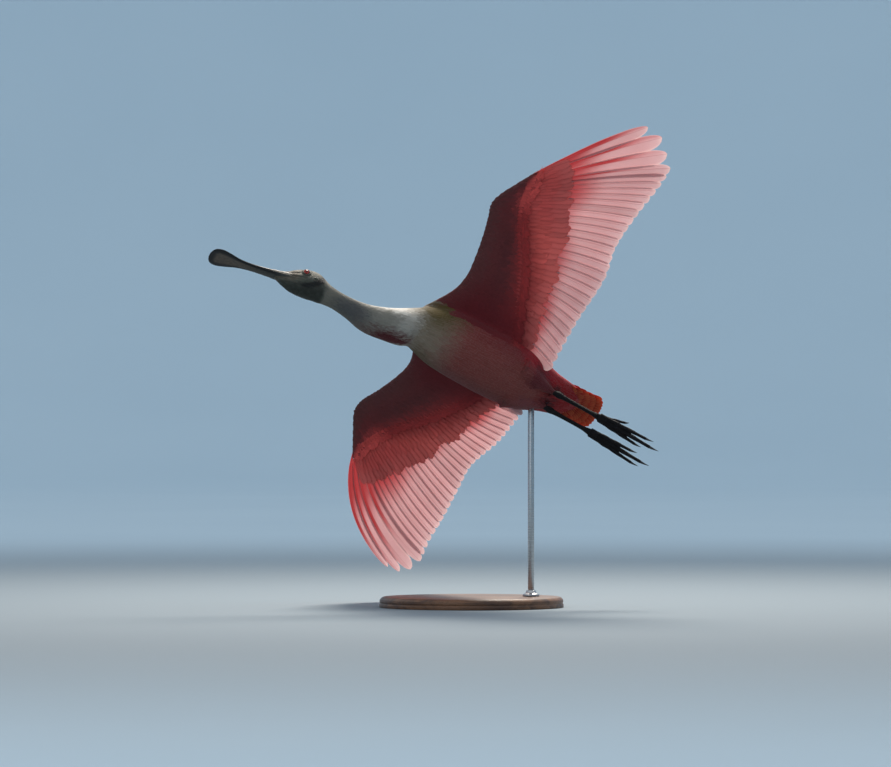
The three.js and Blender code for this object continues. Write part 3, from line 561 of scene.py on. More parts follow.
def studio_floor(name):
    """Seamless paper sweep: matt, sky blue on the wall and a quiet grey under the bird, a trace uneven."""
    material, tree = new_material(name)
    place = add_node(tree, "ShaderNodeTexCoord", {}, out="Object")
    cloud = add_node(tree, "ShaderNodeTexNoise", {"Vector": place, "Scale": 0.8, "Detail": 2.0})
    away = add_node(tree, "ShaderNodeVectorMath", {"Vector": place}, out="Value", operation="LENGTH")
    middle = add_node(tree, "ShaderNodeMapRange", {0: away, 1: 1.5, 2: 6.0, 3: 1.0, 4: 0.0}, **SMOOTH)
    colour = add_node(tree, "ShaderNodeMix", {0: cloud, 6: rgba("#bcd5e4"), 7: rgba("#c3dbe9")}, **COLOURS)
    colour = add_node(tree, "ShaderNodeMix", {0: middle, 6: colour, 7: rgba("#82909a")}, **COLOURS)
    paper = add_node(tree, "ShaderNodeBsdfPrincipled", {"Base Color": colour, "Roughness": 0.9})
    add_node(tree, "ShaderNodeOutputMaterial", {"Surface": paper})
    return material


# Making pieces


def linked(name, data):
    """A new object in the scene."""
    obj = bpy.data.objects.new(name, data)
    bpy.context.scene.collection.objects.link(obj)
    return obj


def place_piece(obj, nodes=()):
    """Says what a finished piece rides on and stands for."""
    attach(obj, "root")
    if nodes:
        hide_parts(*nodes)


def finish_piece(name, made, material, nodes=(), in_bird=True):
    """A piece from a bmesh in millimetres, in the bird's frame or upright on the floor."""
    mesh = bpy.data.meshes.new(name)
    made.to_mesh(mesh)
    made.free()
    mesh.transform(TO_METRES @ BIRD if in_bird else TO_METRES)
    mesh.shade_smooth()
    mesh.materials.append(material)
    obj = linked(name, mesh)
    place_piece(obj, nodes)
    return obj


def tube(rings):
    """A closed bmesh tube through rings of points, with its ends filled."""
    count, sides, _ = rings.shape
    made = bmesh.new()
    bmesh.ops.create_grid(made, x_segments=sides, y_segments=count - 1, size=1)
    looped = np.concatenate([rings, rings[:, :1]], axis=1)
    for vert in made.verts:
        column = round((vert.co.x + 1) / 2 * sides)
        row = round((vert.co.y + 1) / 2 * (count - 1))
        vert.co = looped[row, column]
    bmesh.ops.remove_doubles(made, verts=made.verts, dist=1e-4)
    rims = [edge for edge in made.edges if edge.is_boundary]
    if rims:
        bmesh.ops.holes_fill(made, edges=rims, sides=0)
    bmesh.ops.recalc_face_normals(made, faces=made.faces)
    return made


def spun(profile, centre, steps, merge):
    """A bmesh turned from a profile of (radius, height) round an upright axis."""
    made = bmesh.new()
    verts = [made.verts.new((centre[0] + r, centre[1], z)) for r, z in profile]
    edges = [made.edges.new(pair) for pair in zip(verts, verts[1:])]
    bmesh.ops.spin(made, geom=verts + edges, cent=(*centre, 0), axis=(0, 0, 1), angle=2 * math.pi, steps=steps,
                   use_merge=True)
    bmesh.ops.remove_doubles(made, verts=made.verts, dist=merge)
    bmesh.ops.recalc_face_normals(made, faces=made.faces)
    return made


def joined(parts):
    """Several bmeshes as one."""
    whole = bmesh.new()
    for part in parts:
        mesh = bpy.data.meshes.new("part")
        part.to_mesh(mesh)
        part.free()
        whole.from_mesh(mesh)
        bpy.data.meshes.remove(mesh)
    return whole


def relax(made, factor):
    """Evens a surface out a little."""
    axes = dict.fromkeys(("use_axis_x", "use_axis_y", "use_axis_z"), True)
    bmesh.ops.smooth_vert(made, verts=made.verts, factor=factor, **axes)


def fused(parts, voxel, passes):
    """One closed surface round overlapping closed parts, relaxed so that their joins run out softly."""
    whole = joined(parts)
    mesh = bpy.data.meshes.new("fused")
    whole.to_mesh(mesh)
    whole.free()
    holder = linked("fused", mesh)
    remesh = holder.modifiers.new("fuse", "REMESH")
    remesh.mode = "VOXEL"
    remesh.voxel_size = voxel
    evaluated = holder.evaluated_get(bpy.context.evaluated_depsgraph_get())
    skin = bpy.data.meshes.new_from_object(evaluated)
    bpy.data.objects.remove(holder)
    bpy.data.meshes.remove(mesh)
    made = bmesh.new()
    made.from_mesh(skin)
    bpy.data.meshes.remove(skin)
    for _ in range(passes):
        relax(made, 0.5)
    return made


def paint(obj, colours):
    """Sets the colour attribute that the markings are read from, one colour to a vertex."""
    layer = obj.data.color_attributes.new("tint", "FLOAT_COLOR", "POINT")
    layer.data.foreach_set("color", np.hstack([colours, np.ones((len(colours), 1))]).ravel())


def vertices_of(obj):
    """Places of a piece's vertices in the bird's frame, in millimetres, and their normals."""
    count = len(obj.data.vertices)
    places, normals = np.empty(count * 3), np.empty(count * 3)
    obj.data.vertices.foreach_get("co", places)
    obj.data.vertices.foreach_get("normal", normals)
    back = np.array((TO_METRES @ BIRD).inverted())
    places = places.reshape(-1, 3) @ back[:3, :3].T + back[:3, 3]
    return places, unit(normals.reshape(-1, 3) @ back[:3, :3].T)


# Surfaces of the flesh


def torso_rings(grow, stations, sides):
    """Rings of the torso from the tail end to the root of the neck."""
    x = np.linspace(TORSO[0][0], TORSO[-1][0], stations)
    y, half_width, half_height, rise = along(TORSO, x).T
    centres = np.stack([x, y, rise], axis=1)
    return level_rings(centres, half_width, half_height, grow, sides)


def neck_frames(t):
    """Centre, forward, side and up of the neck line at shares t."""
    places = [row[:3] for row in NECK]
    centre = smooth_line(places, t)
    tangent = unit(smooth_line(places, t + 1e-3) - smooth_line(places, t - 1e-3))
    square = 1 - smoothstep(0, 0.25, t)[:, None]
    forward = unit(np.array([1.0, 0, 0]) * square + tangent * (1 - square))
    stops = [[i / (len(NECK) - 1), *row[3:]] for i, row in enumerate(NECK)]
    half_width, above, below, roll = along(stops, t).T
    side, up = rolled(forward, roll)
    return centre, forward, side, up, half_width, above, below


def neck_rings(t, grow, sides):
    """Rings of the neck and head at shares t of its line."""
    centre, _, side, up, half_width, above, below = neck_frames(t)
    return oval_rings(centre, side, up, half_width + grow, above + grow, below + grow, sides)


def wing_height(shape, x, out):
    """Height of the wing sheet at a planform point: dihedral, incidence at the root and camber."""
    arm = np.minimum(out, WRIST_OUT) - SHOULDER_OUT
    hand = np.maximum(out, WRIST_OUT) - WRIST_OUT
    twist = ROOT_INCIDENCE * np.clip(1 - arm / (WRIST_OUT - SHOULDER_OUT), 0, 1.2)
    front, back = along(shape["leading"], out), along(shape["trailing"], out)
    share = np.clip((x - back) / (front - back), -0.3, 1.2)
    fade = np.clip(1 - hand / 180, 0.25, 1)
    camber = CAMBER * fade * 4 * share * (1 - share)
    return ROOT_HEIGHT + ARM_RISE * arm + shape["rise"] * hand + twist * (x - 90) + camber


def arm_rings(shape, sign, grow, stations):
    """Rings of the flesh of arm and hand, inside its small coverts."""
    out = np.linspace(SHOULDER_OUT - 37, HAND_END_OUT + grow, stations)
    front, back = along(shape["leading"], out) + grow, along(shape["quills"], out) - grow
    thick = np.maximum(along(ARM_THICKNESS, out), 10.4)
    rings = []
    for share, height in ARM_SECTION:
        x = front + (back - front) * share
        edge = np.sign(height) * ARM_END_HALF if share == 1 else height * thick
        z = wing_height(shape, x, out) + edge + np.sign(height) * grow
        rings.append(np.stack([x, sign * out, z], axis=1))
    return np.stack(rings, axis=1)


def thigh_rings(sign, grow, stations, sides):
    """Rings of the feathered thigh, from the flank to above the heel."""
    hip, drop = LEG["hip"], LEG["drop"]
    line = [
        (hip[0], sign * hip[1], hip[2]),
        (hip[0] - 38, sign * (LEG["side"] + 8), drop - 6),
        (LEG["thigh_end"], sign * LEG["side"], drop),
        (LEG["heel"] + 6, sign * LEG["side"], drop),
    ]
    t = np.linspace(0, 1, stations)
    radius = along([[0, 25], [0.3, 17], [0.67, 8.2], [0.9, 7.2], [1, 6.4]], t)
    return level_rings(smooth_line(line, t), radius, radius, grow, sides)


def level_tube(rows, height, sides, grow=0):
    """A tube along x from rows of [x, half width, half height]."""
    x, half_width, half_height = np.array(rows, float).T
    centres = np.stack([x, np.zeros(len(x)), np.full(len(x), float(height))], axis=1)
    return level_rings(centres, half_width, half_height, grow, sides)


# Markings, the same on skin and feathers


def spread(base, hex_colour, mask):
    """Lays a colour over others where the mask is 1."""
    return blend(base, linear(hex_colour), np.asarray(mask)[..., None])


def near(places, centre, radii, softness=0.35):
    """1 inside an oval round a centre, running out to 0 round its edge."""
    reach = np.linalg.norm((places - np.array(centre)) / np.array(radii), axis=-1)
    return 1 - smoothstep(1 - softness, 1 + softness, reach)


def body_marking(places):
    """Plumage of torso, neck and thighs by place: white neck, pink body, dark red tuft and rump, with painted
    shade on the underside, the neck's under face, partly the flanks by the wings, the left thigh and the leg
    roots.
    """
    x, y, z = places.T
    # Painted shade: the pink body's base colour is darkened to a dusky brown-pink for the underside; the paler
    # pink laid over the back is the plumage's own colour.
    colour = np.tile(linear("#783c37"), (len(places), 1))
    colour = spread(colour, "#e9bcbb", smoothstep(0, 34, z))
    colour = spread(colour, "#7d7161", smoothstep(44, 120, x) * smoothstep(0, -20, z))
    # Painted shade: the lower right flank, turned away from the light, is darkened.
    colour = spread(colour, "#523432", smoothstep(-8, -52, y) * smoothstep(10, -20, z) * 0.6)
    # The dark red flank by each wing root is partly the plumage's own carmine and partly painted shade where
    # body and wing meet; the rear patch is carmine.
    for side in (1, -1):
        flank = near(places, (-40, side * 66, 0), (130, 42, 54), 0.7)
        colour = spread(colour, "#651c22", flank * 0.9)
        rear = near(places, (-112, side * 54, -12), (56, 34, 36), 0.5)
        colour = spread(colour, "#8e1020", rear)
    white = smoothstep(98, 166, x + 0.3 * z)
    colour = spread(colour, "#e6e3da", white)
    colour = spread(colour, "#7b7a72", smoothstep(215, 300, x - 0.4 * (z + 60)))
    # Painted shade: the white neck is greyed on its under face, as if shaded from the light above.
    colour = spread(colour, "#6a695f", white * smoothstep(-50, -74, z) * 0.9)
    grey = near(places, (262, -8, -86), (36, 24, 18), 0.6)
    colour = spread(colour, "#45484b", grey * 0.8)
    # The tuft is the plumage's own carmine, painted darker with painted shade at the neck's lower edge.
    tuft = near(places, (163, -30, -85), (66, 22, 16), 0.55)
    colour = spread(colour, "#4c141a", tuft)
    for side in (1, -1):
        olive = near(places, (120, side * 44, -22), (48, 36, 34), 0.8)
        colour = spread(colour, "#463c10", olive)
    colour = spread(colour, "#8a1a1f", smoothstep(-112, -158, x) * smoothstep(20, 0, z))
    colour = spread(colour, "#c02538", smoothstep(-90, -150, x) * smoothstep(5, 20, z))
    # Painted shade: the left thigh, under the raised wing, is painted darker than the right; both thighs are
    # dusky carmine.
    thigh = smoothstep(-80, -104, x) * smoothstep(-16, -32, z)
    colour = spread(colour, "#5a1c22", thigh * smoothstep(6, 22, y))
    colour = spread(colour, "#6e3a3c", thigh * smoothstep(-6, -22, y))
    # Painted shade: a dark ring round the root of each leg, where the shank leaves the thigh feathers.
    from_leg = np.hypot(np.abs(y) - LEG["side"], z - LEG["drop"])
    colour = spread(colour, "#541a1e", smoothstep(-104, -150, x) * smoothstep(22, 8, from_leg))
    return colour


def head_marking(places):
    """Colours of the bare head: grey-green hide with painted shade darkening its underside, buff at the gape
    and a black band from eye to nape.
    """
    forward, left, up = in_head(places).T
    colour = np.tile(linear("#565950"), (len(places), 1))
    # Painted shade: the hide darkens towards the chin and throat, under the head.
    colour = spread(colour, "#30332d", smoothstep(-2, -24, up))
    colour = spread(colour, "#6f6053", smoothstep(16, 34, forward) * smoothstep(-20, -4, up) * 0.6)
    behind = np.maximum(14 - forward, 0)
    band_line = -18.5 + 0.0165 * behind**2
    thickness = (2.8 + 0.13 * behind) * np.sqrt(1 + (0.033 * behind) ** 2)
    band = bell(up, band_line, thickness) * smoothstep(26, 10, forward)
    band = np.clip(1.5 * band, 0, 1) * smoothstep(-29, -23, forward) * smoothstep(3, 8, np.abs(left) + behind)
    colour = spread(colour, "#121415", band)
    ring = np.hypot(forward - EYE["forward"], up - EYE["up"])
    lid = smoothstep(3.5, 5.5, ring) * smoothstep(11.5, 7.5, ring) * smoothstep(8, 12, np.abs(left))
    colour = spread(colour, "#3f4039", lid * 0.85)
    feathered = smoothstep(-22, -32, forward)
    return blend(colour, body_marking(places), feathered[:, None])


def wing_marking(shape, x, out, under):
    """Plumage colours of a wing by place in plan, on its under face or its upper one. The under face carries
    painted shade, darkest along the arm bone, and painted light that brightens its red coverts.
    """
    front, quills = along(shape["leading"], out), along(shape["quills"], out)
    share = (front - x) / np.maximum(front - quills, 5)
    # Painted shade: the lining under the arm is painted a dark dusky rose, as if in shadow under the wing.
    below = np.tile(linear("#5e3232"), (len(x), 1))
    below = spread(below, "#702e30", smoothstep(0.1, 0.4, share))
    below = spread(below, "#a83433", smoothstep(0.42, 1.1, share))
    # The under coverts by the quill roots are partly their own carmine and partly painted light, painted
    # brighter as if lit through.
    below = spread(below, "#f4635a", smoothstep(1.05, 1.7, share))
    # Painted shadow: a dark band along the arm bone.
    bone_shadow = bell(share, 0.45, 0.2) * smoothstep(50, 100, out) * smoothstep(300, 200, out)
    below = spread(below, "#4a2728", bone_shadow * 0.6)
    inner = smoothstep(165, 70, out) * smoothstep(-0.2, 0.3, share) * smoothstep(1.5, 0.8, share)
    below = spread(below, "#5e161d", inner * 0.85)
    # Painted light: the hand's under coverts are painted a brighter red, as if lit through.
    hand = smoothstep(250, 300, out) * smoothstep(0.3, 0.9, share)
    below = spread(below, "#e05550", hand)
    above = np.tile(linear("#eba3aa"), (len(x), 1))
    above = spread(above, "#c2223c", near(np.stack([share * 60, out], axis=1), (22, 150), (26, 105), 0.4))
    above = spread(above, "#f2c4c5", smoothstep(0.9, 1.3, share))
    above = spread(above, "#a8666a", smoothstep(0.16, 0.06, share))
    return blend(above, below, np.asarray(under, float)[..., None])


# Feathers


def vane_form(across, lengthwise):
    """A closed lens-shaped vane: rows of (across -1 to 1, along 0 to 1, face -1 to 1), and its faces."""
    made = bmesh.new()
    bmesh.ops.create_grid(made, x_segments=across, y_segments=lengthwise, size=1)
    for vert in made.verts:
        inside = abs(vert.co.x) < 0.999 and abs(vert.co.y) < 0.999
        vert.co.z = 1 if inside else 0
    other = bmesh.ops.duplicate(made, geom=made.verts[:] + made.edges[:] + made.faces[:])["geom"]
    bmesh.ops.scale(made, vec=(1, 1, -1), verts=[e for e in other if isinstance(e, bmesh.types.BMVert)])
    bmesh.ops.reverse_faces(made, faces=[e for e in other if isinstance(e, bmesh.types.BMFace)])
    bmesh.ops.remove_doubles(made, verts=made.verts, dist=1e-3)
    made.verts.ensure_lookup_table()
    rows = np.array([vert.co[:] for vert in made.verts])
    faces = np.array([[vert.index for vert in face.verts] for face in made.faces])
    made.free()
    rows[:, 1] = (rows[:, 1] + 1) / 2
    return rows, faces


def feather_piece(name, places, form, tints, barb, material, nodes=(), bake=None, mirrored=False):
    """One joined mesh of many feathers of one form, with crisp rims.
    Places and tints are arrays by feather and vertex."""
    rows, faces = form
    feathers, count, _ = places.shape
    if mirrored:
        faces = faces[:, ::-1]
    corners = (faces[None] + (np.arange(feathers) * count)[:, None, None]).reshape(-1, 4)
    turn = np.array(TO_METRES @ BIRD)
    points = places.reshape(-1, 3) @ turn[:3, :3].T + turn[:3, 3]
    mesh = bpy.data.meshes.new(name)
    mesh.vertices.add(len(points))
    mesh.vertices.foreach_set("co", points.ravel())
    mesh.loops.add(corners.size)
    mesh.loops.foreach_set("vertex_index", corners.ravel())
    mesh.polygons.add(len(corners))
    mesh.polygons.foreach_set("loop_start", np.arange(0, corners.size, 4))
    mesh.update(calc_edges=True)
    mesh.shade_smooth()
    ends = np.empty(len(mesh.edges) * 2, int)
    mesh.edges.foreach_get("vertices", ends)
    on_rim = np.tile(rows[:, 2] == 0, feathers)[ends].reshape(-1, 2).all(axis=1)
    mesh.attributes.new("sharp_edge", "BOOLEAN", "EDGE").data.foreach_set("value", on_rim)
    mesh.materials.append(material)
    maps = {"plume": np.stack([(rows[:, 0] + 1) / 2, rows[:, 1]], axis=-1)[None], "barb": barb}
    if bake is not None:
        maps["OFBake"] = bake
    for layer, values in maps.items():
        values = np.broadcast_to(values, (feathers, count, 2)).reshape(-1, 2)
        mesh.uv_layers.new(name=layer).data.foreach_set("uv", values[corners.ravel()].ravel())
    obj = linked(name, mesh)
    paint(obj, np.clip(tints, 0, 1).reshape(-1, 3))
    place_piece(obj, nodes)


def bezier(root, tip, bow):
    """Points and tangents of bowed shafts in plan: a function of the shares along them."""
    way = tip - root
    control = (root + tip) / 2 + np.stack([way[:, 1], -way[:, 0]], axis=1) * np.asarray(bow)[:, None]

    def at(s):
        """Points and tangents at the shares s."""
        s = s[..., None]
        point = root[:, None] * (1 - s) ** 2 + control[:, None] * 2 * s * (1 - s) + tip[:, None] * s**2
        tangent = unit((control - root)[:, None] * (1 - s) + (tip - control)[:, None] * s)
        return point, tangent

    return at


def remex_shafts(shape):
    """Roots, tips and bows in plan (x, out) of a wing's flight feathers, outermost first."""
    count = PRIMARIES + SECONDARIES + TERTIALS
    outs = np.concatenate([
        np.linspace(*PRIMARY_ROOTS, PRIMARIES),
        np.linspace(*SECONDARY_ROOTS, SECONDARIES),
        np.linspace(*TERTIAL_ROOTS, TERTIALS),
    ])
    roots = np.stack([along(shape["quills"], outs) + ROOT_DEPTH, outs], axis=1)
    fingers = np.array(shape["fingers"], float)
    rest = np.linspace(fingers[-1, 0], INNERMOST_TIP, count - len(fingers) + 1)[1:]
    tip_out = np.concatenate([fingers[:, 0], rest])
    tip_x = np.concatenate([fingers[:, 1], along(shape["trailing"], rest)])
    bows = shape["bow"] + (0.07 - shape["bow"]) * np.minimum(np.arange(count) / PRIMARIES, 1)
    return roots, np.stack([tip_x, tip_out], axis=1), bows


def sheet_vanes(roots, tips, bows, height, *, lengthwise, overlap, limit, tip_round, lift, stack, thick,
                curl=0.0, sink=0.0, seed=0, root_width=13.0):
    """Feathers laid on a sheet z = height(x, out): their places (x, out, z), barb lines, form and shares."""
    rows, faces = vane_form(6, lengthwise)
    draw = np.random.default_rng(seed)
    count = len(roots)
    share = 1 - (1 - rows[:, 1]) ** 1.5
    s = np.tile(share, (count, 1))
    centre, tangent = bezier(roots, tips, bows)(s)
    across = np.stack([tangent[..., 1], -tangent[..., 0]], axis=-1)
    low, high = np.maximum(np.arange(count) - 1, 0), np.minimum(np.arange(count) + 1, count - 1)
    apart = centre[low] - centre[high]
    step = np.abs(apart[..., 0] * tangent[..., 1] - apart[..., 1] * tangent[..., 0]) / (high - low)[:, None]
    step = np.maximum(step, 1.5)
    limits = np.broadcast_to(limit, (count,))[:, None]
    broad = np.minimum(overlap * step, limits)
    full = np.minimum(root_width + (broad - root_width) * np.minimum(1, s / 0.4), broad)
    length = np.linalg.norm(tips - roots, axis=1)[:, None]
    tip_share = np.broadcast_to(tip_round, (count,))[:, None] / length
    rounding = np.clip((s - (1 - tip_share)) / tip_share, 0, 1)
    full = full * np.sqrt(np.maximum(1 - rounding**2.2, 0.004))
    full = full * (0.25 + 0.75 * smoothstep(0, 0.12, s))
    outer, inner = 0.35 * full, 0.65 * full
    stops = np.stack([
        -inner,
        -0.5 * inner,
        np.maximum(-0.3 * inner, -SHAFT_RIDGE),
        0 * full,
        np.minimum(0.3 * outer, SHAFT_RIDGE),
        0.55 * outer,
        outer,
    ])
    column = np.rint((rows[:, 0] + 1) * 3).astype(int)
    lateral = stops[column, :, np.arange(len(column))].T
    plan = centre + across * lateral[..., None]
    sheet = height(plan[..., 0], plan[..., 1])
    z = sheet + lift * (1 - sink * smoothstep(0.35, 0, s)) + stack * lateral / step
    shaft = np.clip(1 - np.abs(rows[:, 0]) * 3, 0, 1)
    z = z + rows[:, 2] * (thick / 2 + 0.35 * shaft * (1 - 0.7 * s))
    arch = 0.9 * (1 - (lateral / np.maximum(full, 1)) ** 2 * 2.2)
    z = z + arch * smoothstep(0.1, 0.5, s) * 0.6
    z = z + curl * smoothstep(0.7, 1, s) + draw.normal(0, 0.18, (count, 1)) * s
    barb = np.stack([(s * length + 0.8 * np.abs(lateral)) / 10, draw.random((count, 1)) + 0 * s], axis=-1)
    return np.concatenate([plan, z[..., None]], axis=-1), barb, (rows, faces), s


def wing_quills(side, sign):
    """Flight feathers of one wing, each a cambered vane with a shaft and a rounded tip."""
    shape = WING[side]
    roots, tips, bows = remex_shafts(shape)
    count = len(roots)
    order = np.arange(count)
    limit = np.where(order == 0, 23, 30)
    round_tip = np.maximum(46 - 5 * order, 9)
    places, barb, form, s = sheet_vanes(
        roots, tips, bows, partial(wing_height, shape), lengthwise=22, overlap=1.24, limit=limit,
        tip_round=round_tip, lift=0, stack=VANE_STACK, thick=VANE_THICK, seed=3 + sign)
    column = form[0][:, 0]
    inward = smoothstep(0.45, 1, order / (count - 1))[:, None]
    outward = (1 - smoothstep(2, 5, order))[:, None] * smoothstep(-0.6, 0.4, column)[None]
    wave = 0.03 * np.sin(7 * order)[:, None]
    pale = smoothstep(0.3, 0.62, s + wave - 0.12 * inward - 0.3 * outward)[..., None]
    tints = blend(linear("#d07678") * np.ones((count, 1, 1)), linear("#e5c6c7"), pale)
    tints = blend(tints, linear("#ecd5d6"), smoothstep(0.82, 1.0, s)[..., None] * 0.8)
    outermost = (1 - smoothstep(0, 3.5, order))[:, None, None]
    tints = blend(tints, linear("#c05058"), smoothstep(0.2, 1, column)[None, :, None] * outermost * 0.5)
    tints = tints * rng.normal(1, 0.03, (count, 1, 1))
    feather_piece(f"quills_{side}", places * (1, sign, 1), form, tints, barb, quill_vane,
                  mirrored=sign < 0)


def wing_covert_rows(side, sign):
    """Greater and median coverts over and under the roots of the flight feathers."""
    shape = WING[side]
    roots, tips, _ = remex_shafts(shape)
    made = []
    for face in (1, -1):
        for tier, (count, share, lift) in enumerate(COVERT_TIERS):
            greater = tier == 0
            at = np.linspace(0.2, len(roots) - 1.2, count) + 0.3 * tier
            at = np.clip(at, 0, len(roots) - 1.001)
            k = at.astype(int)
            u = (at - k)[:, None]
            root = blend(roots[k], roots[k + 1], u)
            tip = blend(tips[k], tips[k + 1], u)
            draw = np.random.default_rng(20 + tier + 5 * face)
            hand = 1 + 0.45 * smoothstep(285, 340, root[:, 1])
            reach = (along(COVERT_REACH, root[:, 1]) * hand + ROOT_DEPTH) * draw.normal(1, 0.05, count)
            reach = reach * (1 if face < 0 else UPPER_COVERT_REACH)
            root = root + unit(root - tip) * (1 - share) * 10
            end = root + unit(tip - root) * (reach * share)[:, None]
            places, barb, form, s = sheet_vanes(
                root, end, np.full(count, 0.04), partial(wing_height, shape), lengthwise=12, overlap=1.9,
                limit=17, tip_round=13, lift=face * (COVERT_LIFT + lift), stack=0.8, thick=COVERT_THICK,
                curl=-face * (1.3 if greater else 0.5), sink=0.65, seed=40 + tier + 3 * face, root_width=9)
            x, out, _ = places.reshape(-1, 3).T
            tints = wing_marking(shape, x, out, np.full(len(x), face < 0)).reshape(places.shape)
            paler = smoothstep(0.3, 1, s)[..., None] * (0.3 if greater else 0.1)
            tints = blend(tints, linear("#f08c84"), paler) * draw.normal(1, 0.07, (count, 1, 1))
            made.append((places, tints, barb))
    places, tints, barb = (np.concatenate(arrays) for arrays in zip(*made))
    feather_piece(f"coverts_{side}", places * (1, sign, 1), form, tints, barb, covert_vane,
                  mirrored=sign < 0)


def tail_sheet(x, out):
    """Height of the tail, which falls a little towards its sides."""
    return TAIL_HEIGHT - 0.004 * out * out


def tail_fan():
    """Tail quills in pairs, with longer and shorter coverts over and under their roots."""
    made = []
    for tier, (pairs, root_x, tip_x, root_half, tip_half, lift, limit, colour) in enumerate(TAIL_TIERS):
        share = (np.arange(pairs)[::-1] + 0.5) / pairs
        root = np.stack([np.full(pairs, float(root_x)), share * root_half], axis=1)
        tip = np.stack([tip_x + 5 * share**2 + 9 * share**6, share * tip_half], axis=1)
        places, barb, form, s = sheet_vanes(
            root, tip, np.zeros(pairs), tail_sheet, lengthwise=9, overlap=2.3, limit=limit, tip_round=10,
            lift=lift, stack=1.0, thick=VANE_THICK, seed=60 + tier, root_width=6)
        draw = np.random.default_rng(80 + tier)
        tints = linear(colour) * np.ones(places.shape)
        tints = blend(tints, linear("#e5774c"), smoothstep(0.6, 1, s)[..., None] * 0.7)
        made.append((places, tints * draw.normal(1, 0.06, (pairs, 1, 1)), barb))
    places, tints, barb = (np.concatenate(arrays) for arrays in zip(*made))
    for side, sign in SIDES:
        feather_piece(f"tail_{side}", places * (1, sign, 1), form, tints, barb, tail_vane,
                      ("tail",) if sign > 0 else (), mirrored=sign < 0)


def scattered(corners, spacing_at, seed):
    """Places spread over triangles so that each keeps its distance from the others."""
    draw = np.random.default_rng(seed)
    a, b, c = corners[:, 0], corners[:, 1], corners[:, 2]
    normals = np.cross(b - a, c - a)
    areas = np.linalg.norm(normals, axis=1) / 2
    middles = (a + b + c) / 3
    wanted = areas / np.maximum(spacing_at(middles), 0.5) ** 2
    count = int(wanted.sum() * 5)
    which = draw.choice(len(areas), count, p=wanted / wanted.sum())
    u, v = draw.random(count), draw.random(count)
    flip = u + v > 1
    u[flip], v[flip] = 1 - u[flip], 1 - v[flip]
    places = a[which] + (b - a)[which] * u[:, None] + (c - a)[which] * v[:, None]
    apart = np.broadcast_to(spacing_at(places), count)
    cell = apart.max()
    steps = list(product((-1, 0, 1), repeat=3))
    taken, kept = {}, []
    keys = np.floor(places / cell).astype(int)
    for i, (kx, ky, kz) in enumerate(keys.tolist()):
        beside = []
        for dx, dy, dz in steps:
            beside += taken.get((kx + dx, ky + dy, kz + dz), ())
        gaps = ((places[beside] - places[i]) ** 2).sum(axis=1)
        if not (gaps < (0.8 * apart[i]) ** 2).any():
            taken.setdefault((kx, ky, kz), []).append(i)
            kept.append(i)
    return places[kept], unit(normals[which[kept]])


def body_coat(name, roots, normals, lie, lengths, widths, lifts, tints, bake, material, slot, past_edge=None):
    """Small feathers rooted in the skin, bent to follow it, each with its tip over the roots of the next."""
    rows, faces = vane_form(2, 4)
    flat, index = np.unique(rows[:, :2].round(4), axis=0, return_inverse=True)
    index = index.ravel()
    lie = unit(lie - normals * (lie * normals).sum(1, keepdims=True))
    side = np.cross(lie, normals)
    d, s = flat.T
    half = np.sqrt(np.maximum(1 - np.clip((s - 0.55) / 0.45, 0, 1) ** 2, 0.01))
    half = half * (0.55 + 0.45 * smoothstep(0, 0.4, s))
    forward = lengths[:, None] * s[None]
    sideways = widths[:, None] / 2 * (half * d)[None]
    start = roots[:, None] + lie[:, None] * forward[..., None] + side[:, None] * sideways[..., None]
    places = np.empty_like(start)
    outward = np.empty_like(start)
    for at in np.ndindex(start.shape[:2]):
        places[at], outward[at] = skin_surface.find_nearest(Vector(start[at]))[:2]
    if past_edge:
        places, outward = past_edge(start, places, outward, np.sign(normals[:, 2])[:, None])
    rise = -0.15 + lifts[:, None] * s[None] + 0.12 * (1 - d**2)[None]
    places = places + outward * rise[..., None]
    places, outward = places[:, index], outward[:, index]
    places = places + outward * (rows[:, 2] * TUFT_HALF_THICK)[None, :, None]
    draw = np.random.default_rng(len(roots))
    distance = lengths[:, None] * rows[None, :, 1]
    across = widths[:, None] / 2 * np.abs(rows[None, :, 0])
    barb = np.stack([(distance + 0.8 * across) / 10, draw.random((len(roots), 1)) + 0 * distance], axis=-1)
    tints = np.repeat(tints[:, None], len(rows), axis=1)
    patch = (rows[:, :2] - [0, 0.5]) * [0.0015, 0.003]
    feather_piece(name, places, (rows, faces), tints, barb, material, bake=bake[:, None] + patch[None])


def triangle_corners(made):
    """Corners of a bmesh's triangles as an array, and a search tree of its surface."""
    bmesh.ops.triangulate(made, faces=made.faces)
    corners = np.array([[vert.co[:] for vert in face.verts] for face in made.faces])
    return corners, BVHTree.FromBMesh(made)


# The skin

quill_vane = plumage("quill_vane_pink", "#a85054", "#fdf0ec", 0.72, 0.12, rim=0.4)
covert_vane = plumage("covert_vane_rose", "#7a1f28", "#8a2a2c", 0.1, 0.1, rim=0.12)
lining_vane = plumage("lining_vane_dusky", "#5a2a2c", "#b06a68", 0.0, 0.08, rim=0.05, roughness=0.9)
tail_vane = plumage("tail_vane_orange", "#7d1a1c", "#ee9a7c", 0.4, 0.12, rim=0.2)
contour_vane = plumage("contour_vane_soft", "#a98280", "#d8c4be", 0.0, 0.06, rim=0.05, roughness=0.9)
head_hide = bare_skin("bare_hide")


def body_flesh():
    """Overlapping closed parts of the flesh under the plumage."""
    parts = [
        tube(torso_rings(-TORSO_COAT, 40, 64)),
        tube(neck_rings(np.linspace(0, 0.62, 40), -NECK_COAT, 48)),
        tube(level_tube(RUMP, RUMP_HEIGHT, 32, -0.8)),
    ]
    for side, sign in SIDES:
        parts.append(tube(arm_rings(WING[side], sign, -WING_COAT, 50)))
        parts.append(tube(thigh_rings(sign, -THIGH_COAT, 24, 24)))
    return fused(parts, BODY_VOXEL, 6)


